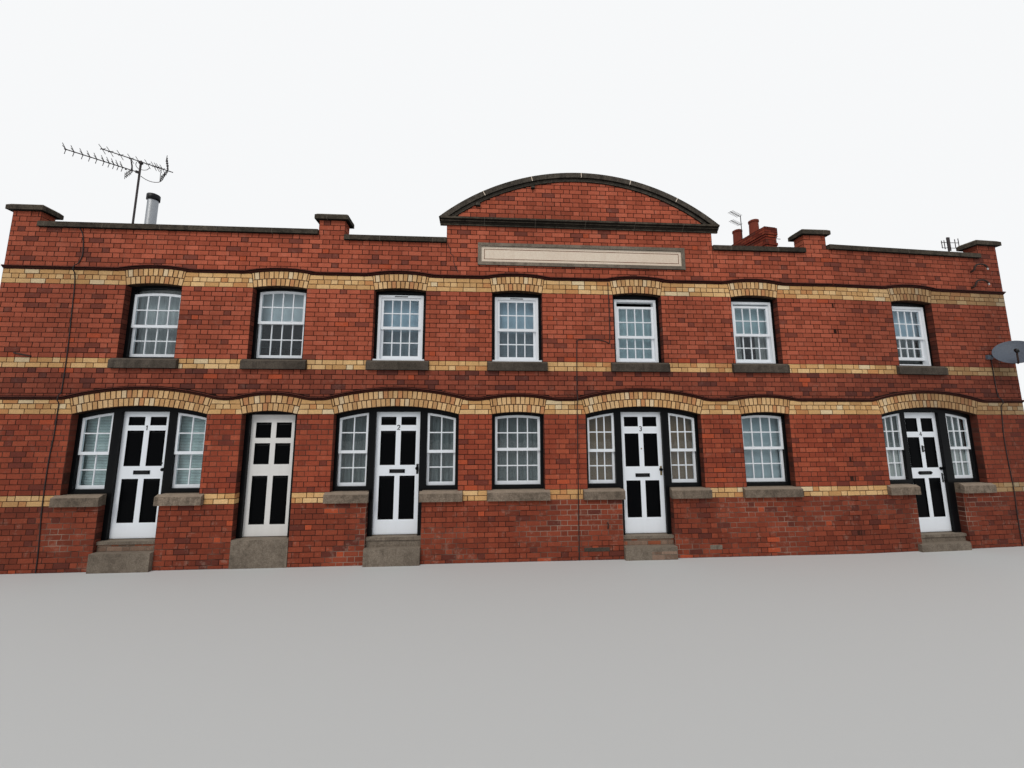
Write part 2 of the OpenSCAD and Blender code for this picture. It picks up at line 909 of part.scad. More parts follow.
module upper_glass() {
    color([0.62, 0.7, 0.72, 0.35])
        for (i = [0:6]) {
            o = upper_openings[i];
            at_wall(o[0])
                pane_pair(o[0], upper_mid[i], y_upper_sash, upper_drop[i], upper_lift[i])
                    if (i < arched_count)
                        arched_light(o, z_up_sill, z_up_spring, sash_w, foot_rail);
                    else
                        level_light(o, z_up_sill, z_up_spring, white_frame + sash_w,
                            foot_rail - white_frame / 2);
        }
}

module lower_glass() {
    color([0.62, 0.7, 0.72, 0.35]) {
        for (i = [0:3])
            at_wall(entrance_x[i])
                pane_pair(entrance_x[i], sidelight_mid, y_lower_sash, 0, 0)
                    sidelight_shape(i, sash_w - 4, foot_rail);
        for (i = [3, 5])
            pane_pair(lower_openings[i][0], low_window_mid, y_lower_sash, 0, 0)
                arched_light(lower_openings[i], z_low_sill + 30, z_low_spring, sash_w,
                    foot_rail);
    }
}

// Side wall shape in Y and Z, rising with the roof
module gable_shape(y0) {
    top = eaves_z + 450;
    polygon([[y0, 0], [y_back - wall_t, 0], [y_back - wall_t, eaves_z],
        [y_back, eaves_z + 20], [ridge_y, ridge_z + gable_over], [y_in + gutter_w, top],
        [y0, top]]);
}

module party_walls() {
    color([0.52, 0.24, 0.18]) {
        translate([x_left, 0, 0])
            rotate([90, 0, 90])
                linear_extrude(wall_t)
                    gable_shape(y_in);
        translate([x_end - wall_t, 0, 0])
            rotate([90, 0, 90])
                linear_extrude(wall_t)
                    gable_shape(y_in + wing_back);
    }
}

// Openings of the back wall as corner, width and height; the last one is a doorway
back_low_x = [-6737, -2672, 1553, 6900];
back_lights = [for (x = upper_x) [x - back_window_w / 2, z_up_sill, back_window_w,
        back_window_h],
    for (x = back_low_x) [x - back_low_w / 2, z_low_sill + 65, back_low_w, back_low_h],
    [passage_x - 410, passage_foot, 820, 1990]];

module back_wall() {
    color([0.52, 0.24, 0.18])
        slab(y_back - wall_t, y_back)
            difference() {
                translate([x_left, 0])
                    square([x_end - x_left, eaves_z]);
                for (b = back_lights)
                    translate([b[0], b[1]])
                        square([b[2], b[3]]);
            }
}

// One back window: a white frame with a middle rail and its panes
module back_window(b) {
    pane = b[3] / 2 - back_rim * 1.25;
    y = y_back - reveal;
    slab(y - 60, y)
        difference() {
            translate([b[0], b[1]])
                square([b[2], b[3]]);
            for (z = [back_rim, b[3] / 2 + back_rim * 0.25])
                translate([b[0] + back_rim, b[1] + z])
                    square([b[2] - 2 * back_rim, pane]);
        }
    slab(y - 34, y - 30)
        for (z = [back_rim, b[3] / 2 + back_rim * 0.25])
            translate([b[0] + back_rim, b[1] + z])
                square([b[2] - 2 * back_rim, pane]);
}

module back_joinery() {
    color([0.84, 0.85, 0.86]) {
        for (i = [0:10])
            back_window(back_lights[i]);
        b = back_lights[11];
        slab(y_back - reveal - 50, y_back - reveal)
            translate([b[0], b[1]])
                square([b[2], b[3]]);
    }
}

// Inner face of the front wall at a place along the row
function inside_y(x) = y_in + fit_gap
    + (x > bend_x ? (x - bend_x) * tan(wing_turn) + 2 * fit_gap : 0);

// Plan of the inside between two places along the row
module room_plan(x0, x1) {
    mid = min(max(bend_x, x0), x1);
    back = y_back - wall_t - fit_gap;
    polygon([[x0, inside_y(x0)], [mid, inside_y(mid)], [x1, inside_y(x1)], [x1, back],
        [x0, back]]);
}

module ground_floor() {
    cuts = [x_left + wall_t + fit_gap, passage_x - 523, passage_x + 877,
        (lower_openings[3][0] + entrance_x[2]) / 2, bend_x - 10,
        x_end - wall_t - fit_gap];
    tops = [leaf_foot[0], passage_foot, leaf_foot[1], leaf_foot[2], leaf_foot[3]];
    color([0.5, 0.48, 0.45])
        for (i = [0:4])
            linear_extrude(tops[i] - floor_drop)
                room_plan(cuts[i] + (i > 0 ? 10 : 0), cuts[i + 1] - (i < 4 ? 10 : 0));
}

module upper_floor() {
    color([0.55, 0.45, 0.33])
        translate([0, 0, upper_floor_z])
            linear_extrude(floor_t)
                room_plan(x_left + wall_t + fit_gap, x_end - wall_t - fit_gap);
}

// Drawn in Y and Z, run along the row between the party walls
module along_row() {
    translate([x_left + wall_t + fit_gap, 0, 0])
        rotate([90, 0, 90])
            linear_extrude(x_end - x_left - 2 * wall_t - 2 * fit_gap)
                children();
}

module roof_slopes() {
    color([0.3, 0.31, 0.34])
        along_row()
            polygon([[gutter_y, eaves_z], [slope_y + 60, eaves_z], [ridge_y, ridge_z - slab_t],
                [verge_y, verge_z], [verge_y, verge_z + slab_t], [ridge_y, ridge_z],
                [slope_y, eaves_z + slab_t], [gutter_y, eaves_z + slab_t]]);
}

// All that lies under the outer face of the roof
module under_roof() {
    along_row()
        polygon([[gutter_y, 0], [verge_y, 0], [verge_y, verge_z + slab_t],
            [ridge_y, ridge_z], [slope_y, eaves_z + slab_t],
            [gutter_y, eaves_z + slab_t]]);
}

// Puts what is drawn about the near left corner of the stack in its place
module on_stack() {
    translate([stack_x, stack_y, 0])
        rotate([0, 0, stack_turn])
            children();
}

// A level part of the stack, standing out from its body on every side
module stack_part(z0, z1, out) {
    translate([stack_over - out, stack_over - out, z0])
        cube([stack_w + 2 * out, stack_l + 2 * out, z1 - z0]);
}

module chimney_stack() {
    color([0.55, 0.25, 0.18])
        difference() {
            on_stack() {
                stack_part(eaves_z, stack_z, 0);
                stack_part(stack_z - 3 * course - 10, stack_z - 30, stack_over);
                stack_part(stack_z - 4 * course, stack_z - 3 * course - 20, stack_over / 2);
                stack_part(stack_z - 7 * course, stack_z - 6 * course, stack_over * 0.7);
            }
            under_roof();
        }
}

// One chimney pot with a rim, standing on the stack
module chimney_pot() {
    difference() {
        union() {
            cylinder(h = pot_h, r1 = pot_r, r2 = pot_r - 17);
            translate([0, 0, pot_h - 70])
                cylinder(h = 55, r = pot_r + 5);
        }
        translate([0, 0, 40])
            cylinder(h = pot_h, r = pot_r - 37);
    }
}

module chimney_pots() {
    color([0.66, 0.3, 0.2])
        on_stack()
            for (t = pot_at)
                translate([stack_over + stack_w / 2, stack_over + stack_l * t, stack_z])
                    chimney_pot();
}

module flue_pipe() {
    color([0.6, 0.61, 0.62])
        difference() {
            translate([flue_x, flue_y, 0]) {
                translate([0, 0, eaves_z])
                    cylinder(h = flue_z - eaves_z - 60, r = flue_r);
                translate([0, 0, flue_z - 100])
                    cylinder(h = 100, r = flue_r + 16);
            }
            under_roof();
        }
}

// A mast on the gutter with two level booms
module aerials() {
    color([0.45, 0.46, 0.47])
        translate([mast_x, mast_y, 0]) {
            translate([0, 0, eaves_z + slab_t])
                cylinder(h = mast_z - eaves_z - slab_t, r = 17);
            rotate([0, 0, boom_turn]) {
                translate([0, -548, mast_z + 33])
                    rotate([-90, 0, 0])
                        cylinder(h = 1025, r = 9);
                translate([0, -978, mast_z - 191])
                    rotate([-90, 0, 0])
                        cylinder(h = 924, r = 9);
            }
            translate([-26, -26, mast_z - 10])
                cube([52, 52, 48]);
            rotate([0, 0, boom_turn])
                translate([-9, -60, mast_z - 215])
                    cube([18, 60, 48]);
        }
    color([0.45, 0.46, 0.47]) {
        on_stack()
            stack_aerial();
        panel_aerial();
    }
}

// A short mast between the chimney pots with two booms, and a bar beside the stack
module stack_aerial() {
    translate([stack_mast[0], stack_mast[1], stack_z]) {
        cylinder(h = stack_mast_h, r = 12);
        for (z = [stack_mast_h - 45, stack_mast_h - 345])
            translate([0, 0, z])
                rotate([0, -90, stack_boom_turn])
                    cylinder(h = 610, r = 8);
    }
    translate([2 * stack_over + stack_w, 320, stack_z - 190])
        rotate([0, 90, 0])
            cylinder(h = 430, r = 9);
}

// A short mast on the gutter behind the right wing, with a flat aerial on it
module panel_aerial() {
    translate([panel_mast[0], panel_mast[1], 0]) {
        translate([0, 0, eaves_z + slab_t])
            cylinder(h = panel_mast[2] - eaves_z - slab_t, r = 11);
        translate([-30, -26, panel_mast[2] - 260])
            cube([60, 22, 300]);
    }
}

// Hinge knuckles and their flaps on the inner side of a leaf
module leaf_hinges(x0, foot, head) {
    y = y_leaf + leaf_t;
    for (z = [foot + 180, (foot + head) / 2, head - 280]) {
        translate([x0 - leaf_gap / 2, y + 8, z])
            cylinder(h = 100, r = 7, $fn = 32);
        translate([x0 - leaf_gap / 2, y, z])
            cube([46, 4, 100]);
    }
}

// Panel places across a leaf, each as a start and a width
function panel_cols(w) = let (stile = 84, mid = 84)
    [[stile, (w - mid) / 2 - stile], [(w + mid) / 2, (w - mid) / 2 - stile]];

module leaf(x0, w, foot, head, rows) {
    slab(y_leaf, y_leaf + leaf_t)
        difference() {
            translate([x0, foot])
                square([w, head - foot]);
            for (r = rows)
                for (c = panel_cols(w))
                    translate([x0 + c[0], foot + r[0]])
                        square([c[1], r[1]]);
        }
    leaf_hinges(x0, foot, head);
}

module leaf_panels(x0, w, foot, rows) {
    slab(y_leaf + 14, y_leaf + 30)
        for (r = rows)
            for (c = panel_cols(w))
                translate([x0 + c[0], foot + r[0]])
                    square([c[1], r[1]]);
}

// Panel places up each leaf from its foot, each as a start and a height
door_rows = [[[235, 680], [1115, 570], [1768, 140]], [[235, 704], [1115, 570], [1782, 140]],
    [[259, 618], [1115, 570], [1808, 170]], [[257, 696], [1142, 560], [1802, 255]]];
passage_rows = [[182, 769], [1135, 344], [1564, 257]];

// Letter plates as height over the foot, width, length of their points and shift aside
plates = [[1016, 256, 3, 0], [1016, 256, 3, 0], [966, 256, 3, 0], [1047, 321, 34, -16]];
plate_h = 62;
knob_up = [1060, 1060, 1060, 1125];

module door_leaf(i) {
    at_wall(entrance_x[i])
        leaf(door_x[i] - leaf_w / 2, leaf_w, leaf_foot[i], leaf_head, door_rows[i]);
}

module door_fittings(i) {
    x = door_x[i];
    half = plates[i][1] / 2;
    flat = half - plates[i][2];
    at_wall(x) {
        leaf_panels(x - leaf_w / 2, leaf_w, leaf_foot[i], door_rows[i]);
        slab(y_leaf - 5, y_leaf)
            translate([x + plates[i][3], leaf_foot[i] + plates[i][0]])
                polygon([[-half, 0], [-flat, -plate_h / 2], [flat, -plate_h / 2], [half, 0],
                    [flat, plate_h / 2], [-flat, plate_h / 2]]);
        translate([x + leaf_w / 2 - 50, y_leaf, leaf_foot[i] + knob_up[i]])
            rotate([90, 0, 0])
                cylinder(h = 34, r = 26);
    }
}

// A shallow dish on an arm that leads from a foot block on the right wing
module satellite_dish() {
    foot = [x_right - 626, z_mid_band + 360];
    bowl = [x_right - 425, -268, z_mid_band + 383];
    r = 280;
    color([0.3, 0.31, 0.33])
        at_wall(foot[0]) {
            translate([foot[0] - 57, y_face - 40, foot[1] - 42])
                cube([114, 40, 84]);
            translate([foot[0] + 6, y_face - 22, foot[1]])
                rotate([90, 0, 43.2])
                    cylinder(h = 312, r = 19);
            translate([bowl[0], y_face + bowl[1], bowl[2]])
                rotate([90, 0, -53.5])
                    rotate([-34, 0, 0])
                        rotate_extrude($fn = 120)
                            polygon([[0, -62], [60, -62], [60, -2], [r * 0.5, 14], [r * 0.8, 38],
                                [r, 62], [r, 68], [r * 0.8, 44], [r * 0.5, 20], [60, 4], [0, 4]]);
        }
}

module door_leaf_1() {
    color([0.85, 0.87, 0.9])
        door_leaf(0);
}

module door_leaf_2() {
    color([0.85, 0.87, 0.9])
        door_leaf(1);
}

module door_leaf_3() {
    color([0.85, 0.87, 0.9])
        door_leaf(2);
}

module door_leaf_4() {
    color([0.85, 0.87, 0.9])
        door_leaf(3);
}

module door_fittings_1() {
    color([0.06, 0.06, 0.07])
        door_fittings(0);
}

module door_fittings_2() {
    color([0.06, 0.06, 0.07])
        door_fittings(1);
}

module door_fittings_3() {
    color([0.06, 0.06, 0.07])
        door_fittings(2);
}

module door_fittings_4() {
    color([0.06, 0.06, 0.07])
        door_fittings(3);
}

module passage_leaf() {
    color([0.74, 0.75, 0.74])
        leaf(passage_x - passage_leaf_w / 2, passage_leaf_w, passage_foot, passage_head,
            passage_rows);
}

module passage_fittings() {
    color([0.06, 0.06, 0.07])
        leaf_panels(passage_x - passage_leaf_w / 2, passage_leaf_w, passage_foot,
            passage_rows);
}

plinth_wall();
ground_wall();
middle_wall();
upper_wall();
parapet_wall();
pediment_wall();
sill_bands();
lower_arch_band();
upper_arch_band();
lower_arches();
upper_arches();
lower_string();
upper_string();
parapet_copings();
pier_caps();
pediment_cornice();
pediment_coping();
plaque_frame();
plaque_panel();
upper_sills();
lower_sills();
doorsteps();
entrance_frames();
window_boxes();
upper_sashes();
lower_sashes();
upper_glass();
lower_glass();
party_walls();
back_wall();
back_joinery();
ground_floor();
upper_floor();
roof_slopes();
chimney_stack();
chimney_pots();
flue_pipe();
aerials();
satellite_dish();
door_leaf_1();
door_fittings_1();
door_leaf_2();
door_fittings_2();
door_leaf_3();
door_fittings_3();
door_leaf_4();
door_fittings_4();
passage_leaf();
passage_fittings();
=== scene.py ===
"""Looks of a terraced house row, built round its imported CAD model.

All sizes are in metres, in the row frame: X runs along the row, Y into the building and Z up.
Places on the street front are given as (along, depth, height), where depth is measured inwards
from the face of the wall, and turned into the row frame by FrontWall.
"""

import logging
import math
from dataclasses import dataclass, field
from enum import Enum
from typing import Callable, Sequence

import bpy
import numpy as np
from mathutils import Matrix, Vector


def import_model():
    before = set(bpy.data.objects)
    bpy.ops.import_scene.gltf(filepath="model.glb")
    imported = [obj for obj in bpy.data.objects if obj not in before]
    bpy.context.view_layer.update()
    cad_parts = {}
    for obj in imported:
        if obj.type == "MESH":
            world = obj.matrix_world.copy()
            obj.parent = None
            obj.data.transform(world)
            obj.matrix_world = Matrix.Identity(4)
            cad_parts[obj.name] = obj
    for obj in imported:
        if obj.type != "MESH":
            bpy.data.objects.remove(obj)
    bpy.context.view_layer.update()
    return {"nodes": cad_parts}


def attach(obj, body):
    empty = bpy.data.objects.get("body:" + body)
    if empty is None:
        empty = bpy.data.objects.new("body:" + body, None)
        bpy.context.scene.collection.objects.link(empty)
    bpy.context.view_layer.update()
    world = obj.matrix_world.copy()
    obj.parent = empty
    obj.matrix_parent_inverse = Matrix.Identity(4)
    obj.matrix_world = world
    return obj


LOG = logging.getLogger("terraced_row")
BUILDING = "building"
Array = np.ndarray
FaceMap = Callable[[Array, Array, Array], Array]
Line = Callable[[Array], Array]
Points = Sequence[Sequence[float]]
Ends = tuple[list, list]
Socket = bpy.types.NodeSocket
Colour = tuple[float, ...]
Masks = bpy.types.NodeOutputs


# Sizes shared with the CAD model


@dataclass(frozen=True)
class Opening:
    """An arched opening of the street front: its centre, width and rise."""

    x: float
    width: float
    rise: float

    @property
    def arc(self) -> float:
        """Radius of the arch."""
        return (self.width**2 / 4 + self.rise**2) / (2 * self.rise)

    def sides(self, over: float = 0.0) -> tuple[float, float]:
        """Its left and right side, each moved out by some length."""
        half = self.width / 2 + over
        return self.x - half, self.x + half


@dataclass(frozen=True)
class Storey:
    """One storey of the street front, with its openings and its wavy line."""

    spring: float
    flat: float
    openings: tuple[Opening, ...]
    ring: float = 0.264
    sweep: float = 0.56

    def centre(self, o: Opening) -> float:
        """Height of the centre of an arch."""
        return self.spring - o.arc + o.rise

    def wavy(self, x: Array, off: float = 0.0) -> Array:
        """Height of the wavy line: level, then a sweep, then an arc over each opening.

        Args:
            x: Places along the front.
            off: How far the line is drawn off above its base.

        Returns:
            The heights at those places.
        """
        z = np.full(x.shape, self.flat + off)
        for o in self.openings:
            c, r = self.centre(o), o.arc + self.ring
            rise = self.flat + self.sweep - c
            foot = math.sqrt((r + self.sweep) ** 2 - rise**2)
            turn = math.atan2(foot, rise)
            dx = np.abs(x - o.x)
            crown = c + np.sqrt(np.maximum((r + off) ** 2 - dx**2, 0))
            inner = self.sweep - off
            hollow = self.flat + self.sweep - np.sqrt(np.maximum(inner**2 - (foot - dx) ** 2, 0))
            z = np.where(dx < foot, hollow, z)
            z = np.where(dx < (r + off) * math.sin(turn), crown, z)
        return z

    def skew(self, o: Opening, side: float, z: float) -> float:
        """Where the skewback of an arch stands at a height."""
        return o.x + side * o.width / 2 * (z - self.centre(o)) / (o.arc - o.rise)


@dataclass(frozen=True)
class RowSizes:
    """Sizes of the row that its looks are laid out on."""

    left: float = -9.15
    right: float = 9.15
    end: float = 9.1428
    face: float = -3.8
    back: float = 3.8
    wall: float = 0.225
    bend: float = 5.3
    turn: float = math.radians(3.5)
    reveal: float = 0.112
    course: float = 0.083
    low_band: float = 0.969
    low_sill: float = 1.135
    mid_band: float = 3.131
    up_sill: float = 3.297
    string: float = 0.057
    inner_coping: float = 5.432
    wing_coping: float = 5.515
    cap: float = 5.793
    cornice: float = 5.765
    tympanum: float = 5.9
    pediment_x: float = 0.558
    pediment_w: float = 4.93
    pediment_r: float = 4.046
    pediment_z: float = 2.808
    pediment_coping: float = 0.15
    coping_stone: float = 0.92
    plaque_z: float = 5.032
    plaque_w: float = 3.815
    plaque_h: float = 0.415
    pier_w: float = 0.45
    pier_x: tuple[float, ...] = (-8.925, -3.915, 5.06, 8.925)
    leaf_w: float = 0.758
    leaf_gap: float = 0.008
    leaf_depth: float = 0.171
    leaf_foot: tuple[float, ...] = (0.44, 0.426, 0.37, 0.268)
    door_x: tuple[float, ...] = (-6.737, -2.672, 1.553, 6.992)
    passage_foot: float = 0.434
    passage_leaf: float = 0.743
    jamb: float = 0.054
    mullion: float = 0.112
    last_recess: tuple[float, float] = (6.4945, 7.4895)
    sill_over: float = 0.078
    ridge_y: float = 0.1125
    ridge_z: float = 6.78
    eaves_z: float = 4.88
    slab: float = 0.09
    verge_y: float = 3.96
    slope_y: float = -2.96

    @property
    def pediment_sides(self) -> tuple[float, float]:
        """Left and right side of the raised middle."""
        return self.pediment_x - self.pediment_w / 2, self.pediment_x + self.pediment_w / 2

    def pediment_line(self, x: Array) -> Array:
        """Height of the underside of the curved coping at places along the front."""
        inner = self.pediment_r - self.pediment_coping
        return self.pediment_z + np.sqrt(np.maximum(inner**2 - (x - self.pediment_x) ** 2, 0))

    @property
    def recesses(self) -> list[tuple[float, float]]:
        """Left and right side of the recess of each front door."""
        half = self.leaf_w / 2 + self.jamb + self.leaf_gap
        return [(x - half, x + half) for x in self.door_x[:3]] + [self.last_recess]


ROW = RowSizes()
ENTRANCES = tuple(Opening(x, 2.05, 0.134) for x in (-6.737, -2.672, 1.553, 7.032))
PASSAGE = Opening(-4.727, 0.867, 0.054)
LOW_WINDOWS = tuple(Opening(x, 0.887, 0.038) for x in (-0.64, 3.766))
UPPER_X = (-6.762, -4.717, -2.69, -0.647, 1.532, 3.748, 6.975)
LOWER = Storey(
    2.385,
    2.615,
    tuple(sorted((*ENTRANCES, PASSAGE, *LOW_WINDOWS), key=lambda o: o.x)),
)
UPPER = Storey(4.533, 4.777, tuple(Opening(x, 0.887, 0.038) for x in UPPER_X))


class FrontWall:
    """The bent street front: turns places along it into points of the row frame."""

    @staticmethod
    def place(along: Array, depth: Array, height: Array) -> Array:
        """Points beyond the bend are turned about the inner face line.

        Args:
            along: Places along the front.
            depth: Depths inwards from its face.
            height: Heights.

        Returns:
            Points of the row frame, in a last axis of three.
        """
        along, depth, height = np.broadcast_arrays(along, depth, height)
        dx, dy = along - ROW.bend, depth - ROW.wall
        c, s = math.cos(ROW.turn), math.sin(ROW.turn)
        wing = along > ROW.bend
        x = np.where(wing, ROW.bend + dx * c - dy * s, along)
        y = np.where(wing, ROW.face + ROW.wall + dx * s + dy * c, ROW.face + depth)
        return np.stack((x, y, height), -1)


# Meshes


@dataclass
class Surface:
    """Points and faces of a mesh in the making, with a value per point if wanted."""

    points: Array
    faces: list[Array] = field(default_factory=list)
    tint: Array | None = None
    smooth: bool = False


def joined(parts: Sequence[Surface]) -> Surface:
    """Surfaces as one, shaded as the first of them.

    Args:
        parts: The surfaces.

    Returns:
        A new surface.
    """
    points, faces, tints, start = [], [], [], 0
    for part in parts:
        flat = part.points.reshape(-1, 3)
        points.append(flat)
        faces += [f + start for f in part.faces if len(f)]
        tint = np.full((len(flat), 4), 0.5) if part.tint is None else part.tint
        tints.append(tint.reshape(-1, 4))
        start += len(flat)
    return Surface(np.concatenate(points), faces, np.concatenate(tints), parts[0].smooth)


def repeat_faces(template: Array, count: int, stride: int) -> Array:
    """The faces of one shape, repeated for a number of like shapes."""
    starts = np.arange(count)[:, None, None] * stride
    return (template[None] + starts).reshape(-1, template.shape[1])


def bands(sides: int, rings: int = 2) -> Array:
    """Quads between closed rings of points, each ring joined to the next.

    Args:
        sides: Points of a ring.
        rings: How many rings there are.

    Returns:
        Rows of point numbers.
    """
    k = np.arange(sides)
    after = (k + 1) % sides
    return repeat_faces(np.stack((k, after, sides + after, sides + k), 1), rings - 1, sides)


def make_piece(
    name: str,
    surface: Surface,
    look: "Looks",
    slot: str,
    body: str = BUILDING,
) -> bpy.types.Object:
    """Turns a surface into an object that rides on a body.

    Args:
        name: Name of the piece.
        surface: Its points and faces.
        look: Its finish.
        slot: The material slot of the record that it belongs to; not used.
        body: The body that it moves with.

    Returns:
        The new object, at the origin of the row frame.
    """
    points = surface.points.reshape(-1, 3)
    loops = np.concatenate([f.reshape(-1) for f in surface.faces]).astype(np.int32)
    sizes = np.concatenate([np.full(len(f), f.shape[1]) for f in surface.faces]).astype(np.int32)
    starts = np.concatenate(([0], np.cumsum(sizes)[:-1])).astype(np.int32)
    mesh = bpy.data.meshes.new(name)
    mesh.vertices.add(len(points))
    mesh.vertices.foreach_set("co", points.astype(np.float32).ravel())
    mesh.loops.add(len(loops))
    mesh.loops.foreach_set("vertex_index", loops)
    mesh.polygons.add(len(sizes))
    mesh.polygons.foreach_set("loop_start", starts)
    if surface.tint is not None:
        colours = mesh.color_attributes.new("brick", "FLOAT_COLOR", "POINT")
        colours.data.foreach_set("color", surface.tint.astype(np.float32).ravel())
    mesh.update(calc_edges=True)
    mesh.validate()
    mesh.polygons.foreach_set("use_smooth", np.full(len(mesh.polygons), surface.smooth))
    mesh.materials.append(look.use())
    piece = bpy.data.objects.new(name, mesh)
    bpy.context.scene.collection.objects.link(piece)
    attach(piece, body)
    triangles = int((sizes - 2).sum())
    LOG.info("%s: %d triangles on %s", name, triangles, body)
    return piece


# Builders of repeated shapes


@dataclass
class Tiles:
    """Bricks drawn on a face, each with a foot line and a head line of equal point counts.

    foot and head are arrays (bricks, points, 2) of places (u, v) on the face.
    """

    foot: Array
    head: Array
    proud: float = 0.003
    bevel: float = 0.0025
    bury: float = 0.002
    seed: int = 1
    jitter: float = 0.0012
    most_jitter: float = 0.002
    uneven: float = 0.18

    def surface(self, place: FaceMap) -> Surface:
        """Each brick is a shallow slab with a bevelled rim, standing proud of the joints.

        The front outline is the brick's own, drawn in by the bevel; behind it come the full
        outline and the same outline sunk into the wall. Corners shift by a small random step.

        Args:
            place: Turns (u, v, depth) into points of the row frame.

        Returns:
            The surface of all the bricks, with a random tint for each.
        """
        n, m = self.foot.shape[0], self.foot.shape[1] - 1
        rng = np.random.default_rng(self.seed)
        rows = np.stack((self.foot, self.head), 1)
        shift = rng.normal(0, self.jitter, rows.shape)
        rows = rows + shift.clip(-self.most_jitter, self.most_jitter)
        ends = np.linalg.norm(rows[:, :, -1] - rows[:, :, 0], axis=-1).mean(1)
        tall = np.linalg.norm(rows[:, 1] - rows[:, 0], axis=-1).mean(1)
        cu = (self.bevel / ends * m).clip(0, 0.35)[:, None, None]
        cv = (self.bevel / np.maximum(tall, 1e-4)).clip(0, 0.35)[:, None, None]
        inner = rows.copy()
        inner[:, :, 0] += (rows[:, :, 1] - rows[:, :, 0]) * cu
        inner[:, :, -1] += (rows[:, :, -2] - rows[:, :, -1]) * cu
        low, high = inner[:, 0].copy(), inner[:, 1].copy()
        inner[:, 0] = low + (high - low) * cv
        inner[:, 1] = high + (low - high) * cv
        uv = np.stack((inner, rows, rows), 1)
        out = self.proud + rng.normal(0, self.proud * self.uneven, n)
        depth = np.stack((-out, -out + self.bevel * 0.8, np.full(n, self.bury)), 1)
        depth = np.broadcast_to(depth[:, :, None, None], uv.shape[:-1])
        points = place(uv[..., 0], uv[..., 1], depth)
        cols = m + 1
        ring = np.concatenate((np.arange(cols), np.arange(2 * cols - 1, cols - 1, -1)))
        after = np.roll(ring, -1)
        k = np.arange(m)
        front = np.stack((k, k + 1, cols + k + 1, cols + k), 1)
        rim = [
            np.stack((o + ring, o + after, i + after, i + ring), 1)
            for o, i in ((2 * cols, 0), (4 * cols, 2 * cols))
        ]
        template = np.concatenate((front, *rim))
        tint = np.concatenate((rng.random((n, 3)), np.ones((n, 1))), 1)
        tint = np.repeat(tint[:, None], 6 * cols, 1)
        return Surface(points, [repeat_faces(template, n, 6 * cols)], tint)


def chamfered_box() -> tuple[Array, Array, list[Array]]:
    """A box with chamfered edges: three points at each corner, one for each face there.

    Returns:
        The corner signs and the face axis of each point, and the faces, facing outwards.
    """
    signs = np.array([(i, j, k) for i in (-1, 1) for j in (-1, 1) for k in (-1, 1)])
    corner = np.repeat(signs, 3, 0)
    axis = np.tile(np.arange(3), 8)
    where = corner * np.where(np.arange(3) == axis[:, None], 1.0, 0.8)
    quads = []
    for a in range(3):
        b, c = (a + 1) % 3, (a + 2) % 3
        for s in (-1, 1):
            ids = [i for i in range(24) if axis[i] == a and corner[i][a] == s]
            ids.sort(key=lambda i: math.atan2(corner[i][c], corner[i][b]))
            quads.append(ids)
        for sb in (-1, 1):
            for sc in (-1, 1):
                ids = {
                    (axis[i], corner[i][a]): i
                    for i in range(24)
                    if corner[i][b] == sb and corner[i][c] == sc and axis[i] != a
                }
                quads.append([ids[b, -1], ids[b, 1], ids[c, 1], ids[c, -1]])
    tris = np.arange(24).reshape(8, 3).tolist()

    def outward(face: list[int]) -> list[int]:
        """The face, turned round if it faces inwards."""
        p = where[face]
        normal = np.cross(p[1] - p[0], p[2] - p[0])
        return face if normal @ p.mean(0) > 0 else face[::-1]

    return corner, axis, [np.array([outward(face) for face in faces]) for faces in (quads, tris)]


BOX_CORNER, BOX_AXIS, BOX_FACES = chamfered_box()


def boxes(
    low: Points,
    high: Points,
    place: FaceMap | None = None,
    bevel: float = 0.002,
) -> Surface:
    """Boxes with chamfered edges, all in one surface.

    Args:
        low: Lowest corner of each box.
        high: Highest corner of each box.
        place: Turns the boxes' places into points of the row frame, or None if they are such.
        bevel: Width of the chamfers.

    Returns:
        The surface.
    """
    lo, hi = np.asarray(low, float), np.asarray(high, float)
    mid, half = (lo + hi) / 2, (hi - lo) / 2
    cut = np.minimum(bevel, half.min(1) * 0.6)[:, None, None]
    reach = half[:, None] - np.where(np.arange(3) == BOX_AXIS[:, None], 0, 1) * cut
    points = mid[:, None] + BOX_CORNER * reach
    if place is not None:
        points = place(points[..., 0], points[..., 1], points[..., 2])
    return Surface(points, [repeat_faces(f, len(lo), 24) for f in BOX_FACES])


def front_boxes(low: Points, high: Points, bevel: float = 0.002) -> Surface:
    """Boxes given by (along, depth, height) on the street front."""
    return boxes(low, high, FrontWall.place, bevel)


def frames(
    low: Points,
    high: Points,
    profile: Points,
    place: FaceMap,
) -> Surface:
    """Mitred mouldings round rectangles on a face.

    Each point of the profile is a rectangle drawn in by an inset at a depth, and each pair
    of neighbours is joined by four strips.

    Args:
        low: Lowest corner (u, v) of each rectangle.
        high: Highest corner (u, v) of each rectangle.
        profile: Pairs (inset, depth) from the outer edge to the inner one.
        place: Turns (u, depth, v) into points of the row frame.

    Returns:
        The surface.
    """
    lo, hi = np.asarray(low, float), np.asarray(high, float)
    line = np.asarray(profile, float)
    inset, depth = line[:, 0], line[:, 1]
    u0, u1 = lo[:, 0, None] + inset, hi[:, 0, None] - inset
    v0, v1 = lo[:, 1, None] + inset, hi[:, 1, None] - inset
    u = np.stack((u0, u1, u1, u0), -1)
    v = np.stack((v0, v0, v1, v1), -1)
    points = place(u, np.broadcast_to(depth[None, :, None], u.shape), v)
    return Surface(points, [repeat_faces(bands(4, len(line)), len(lo), 4 * len(line))])


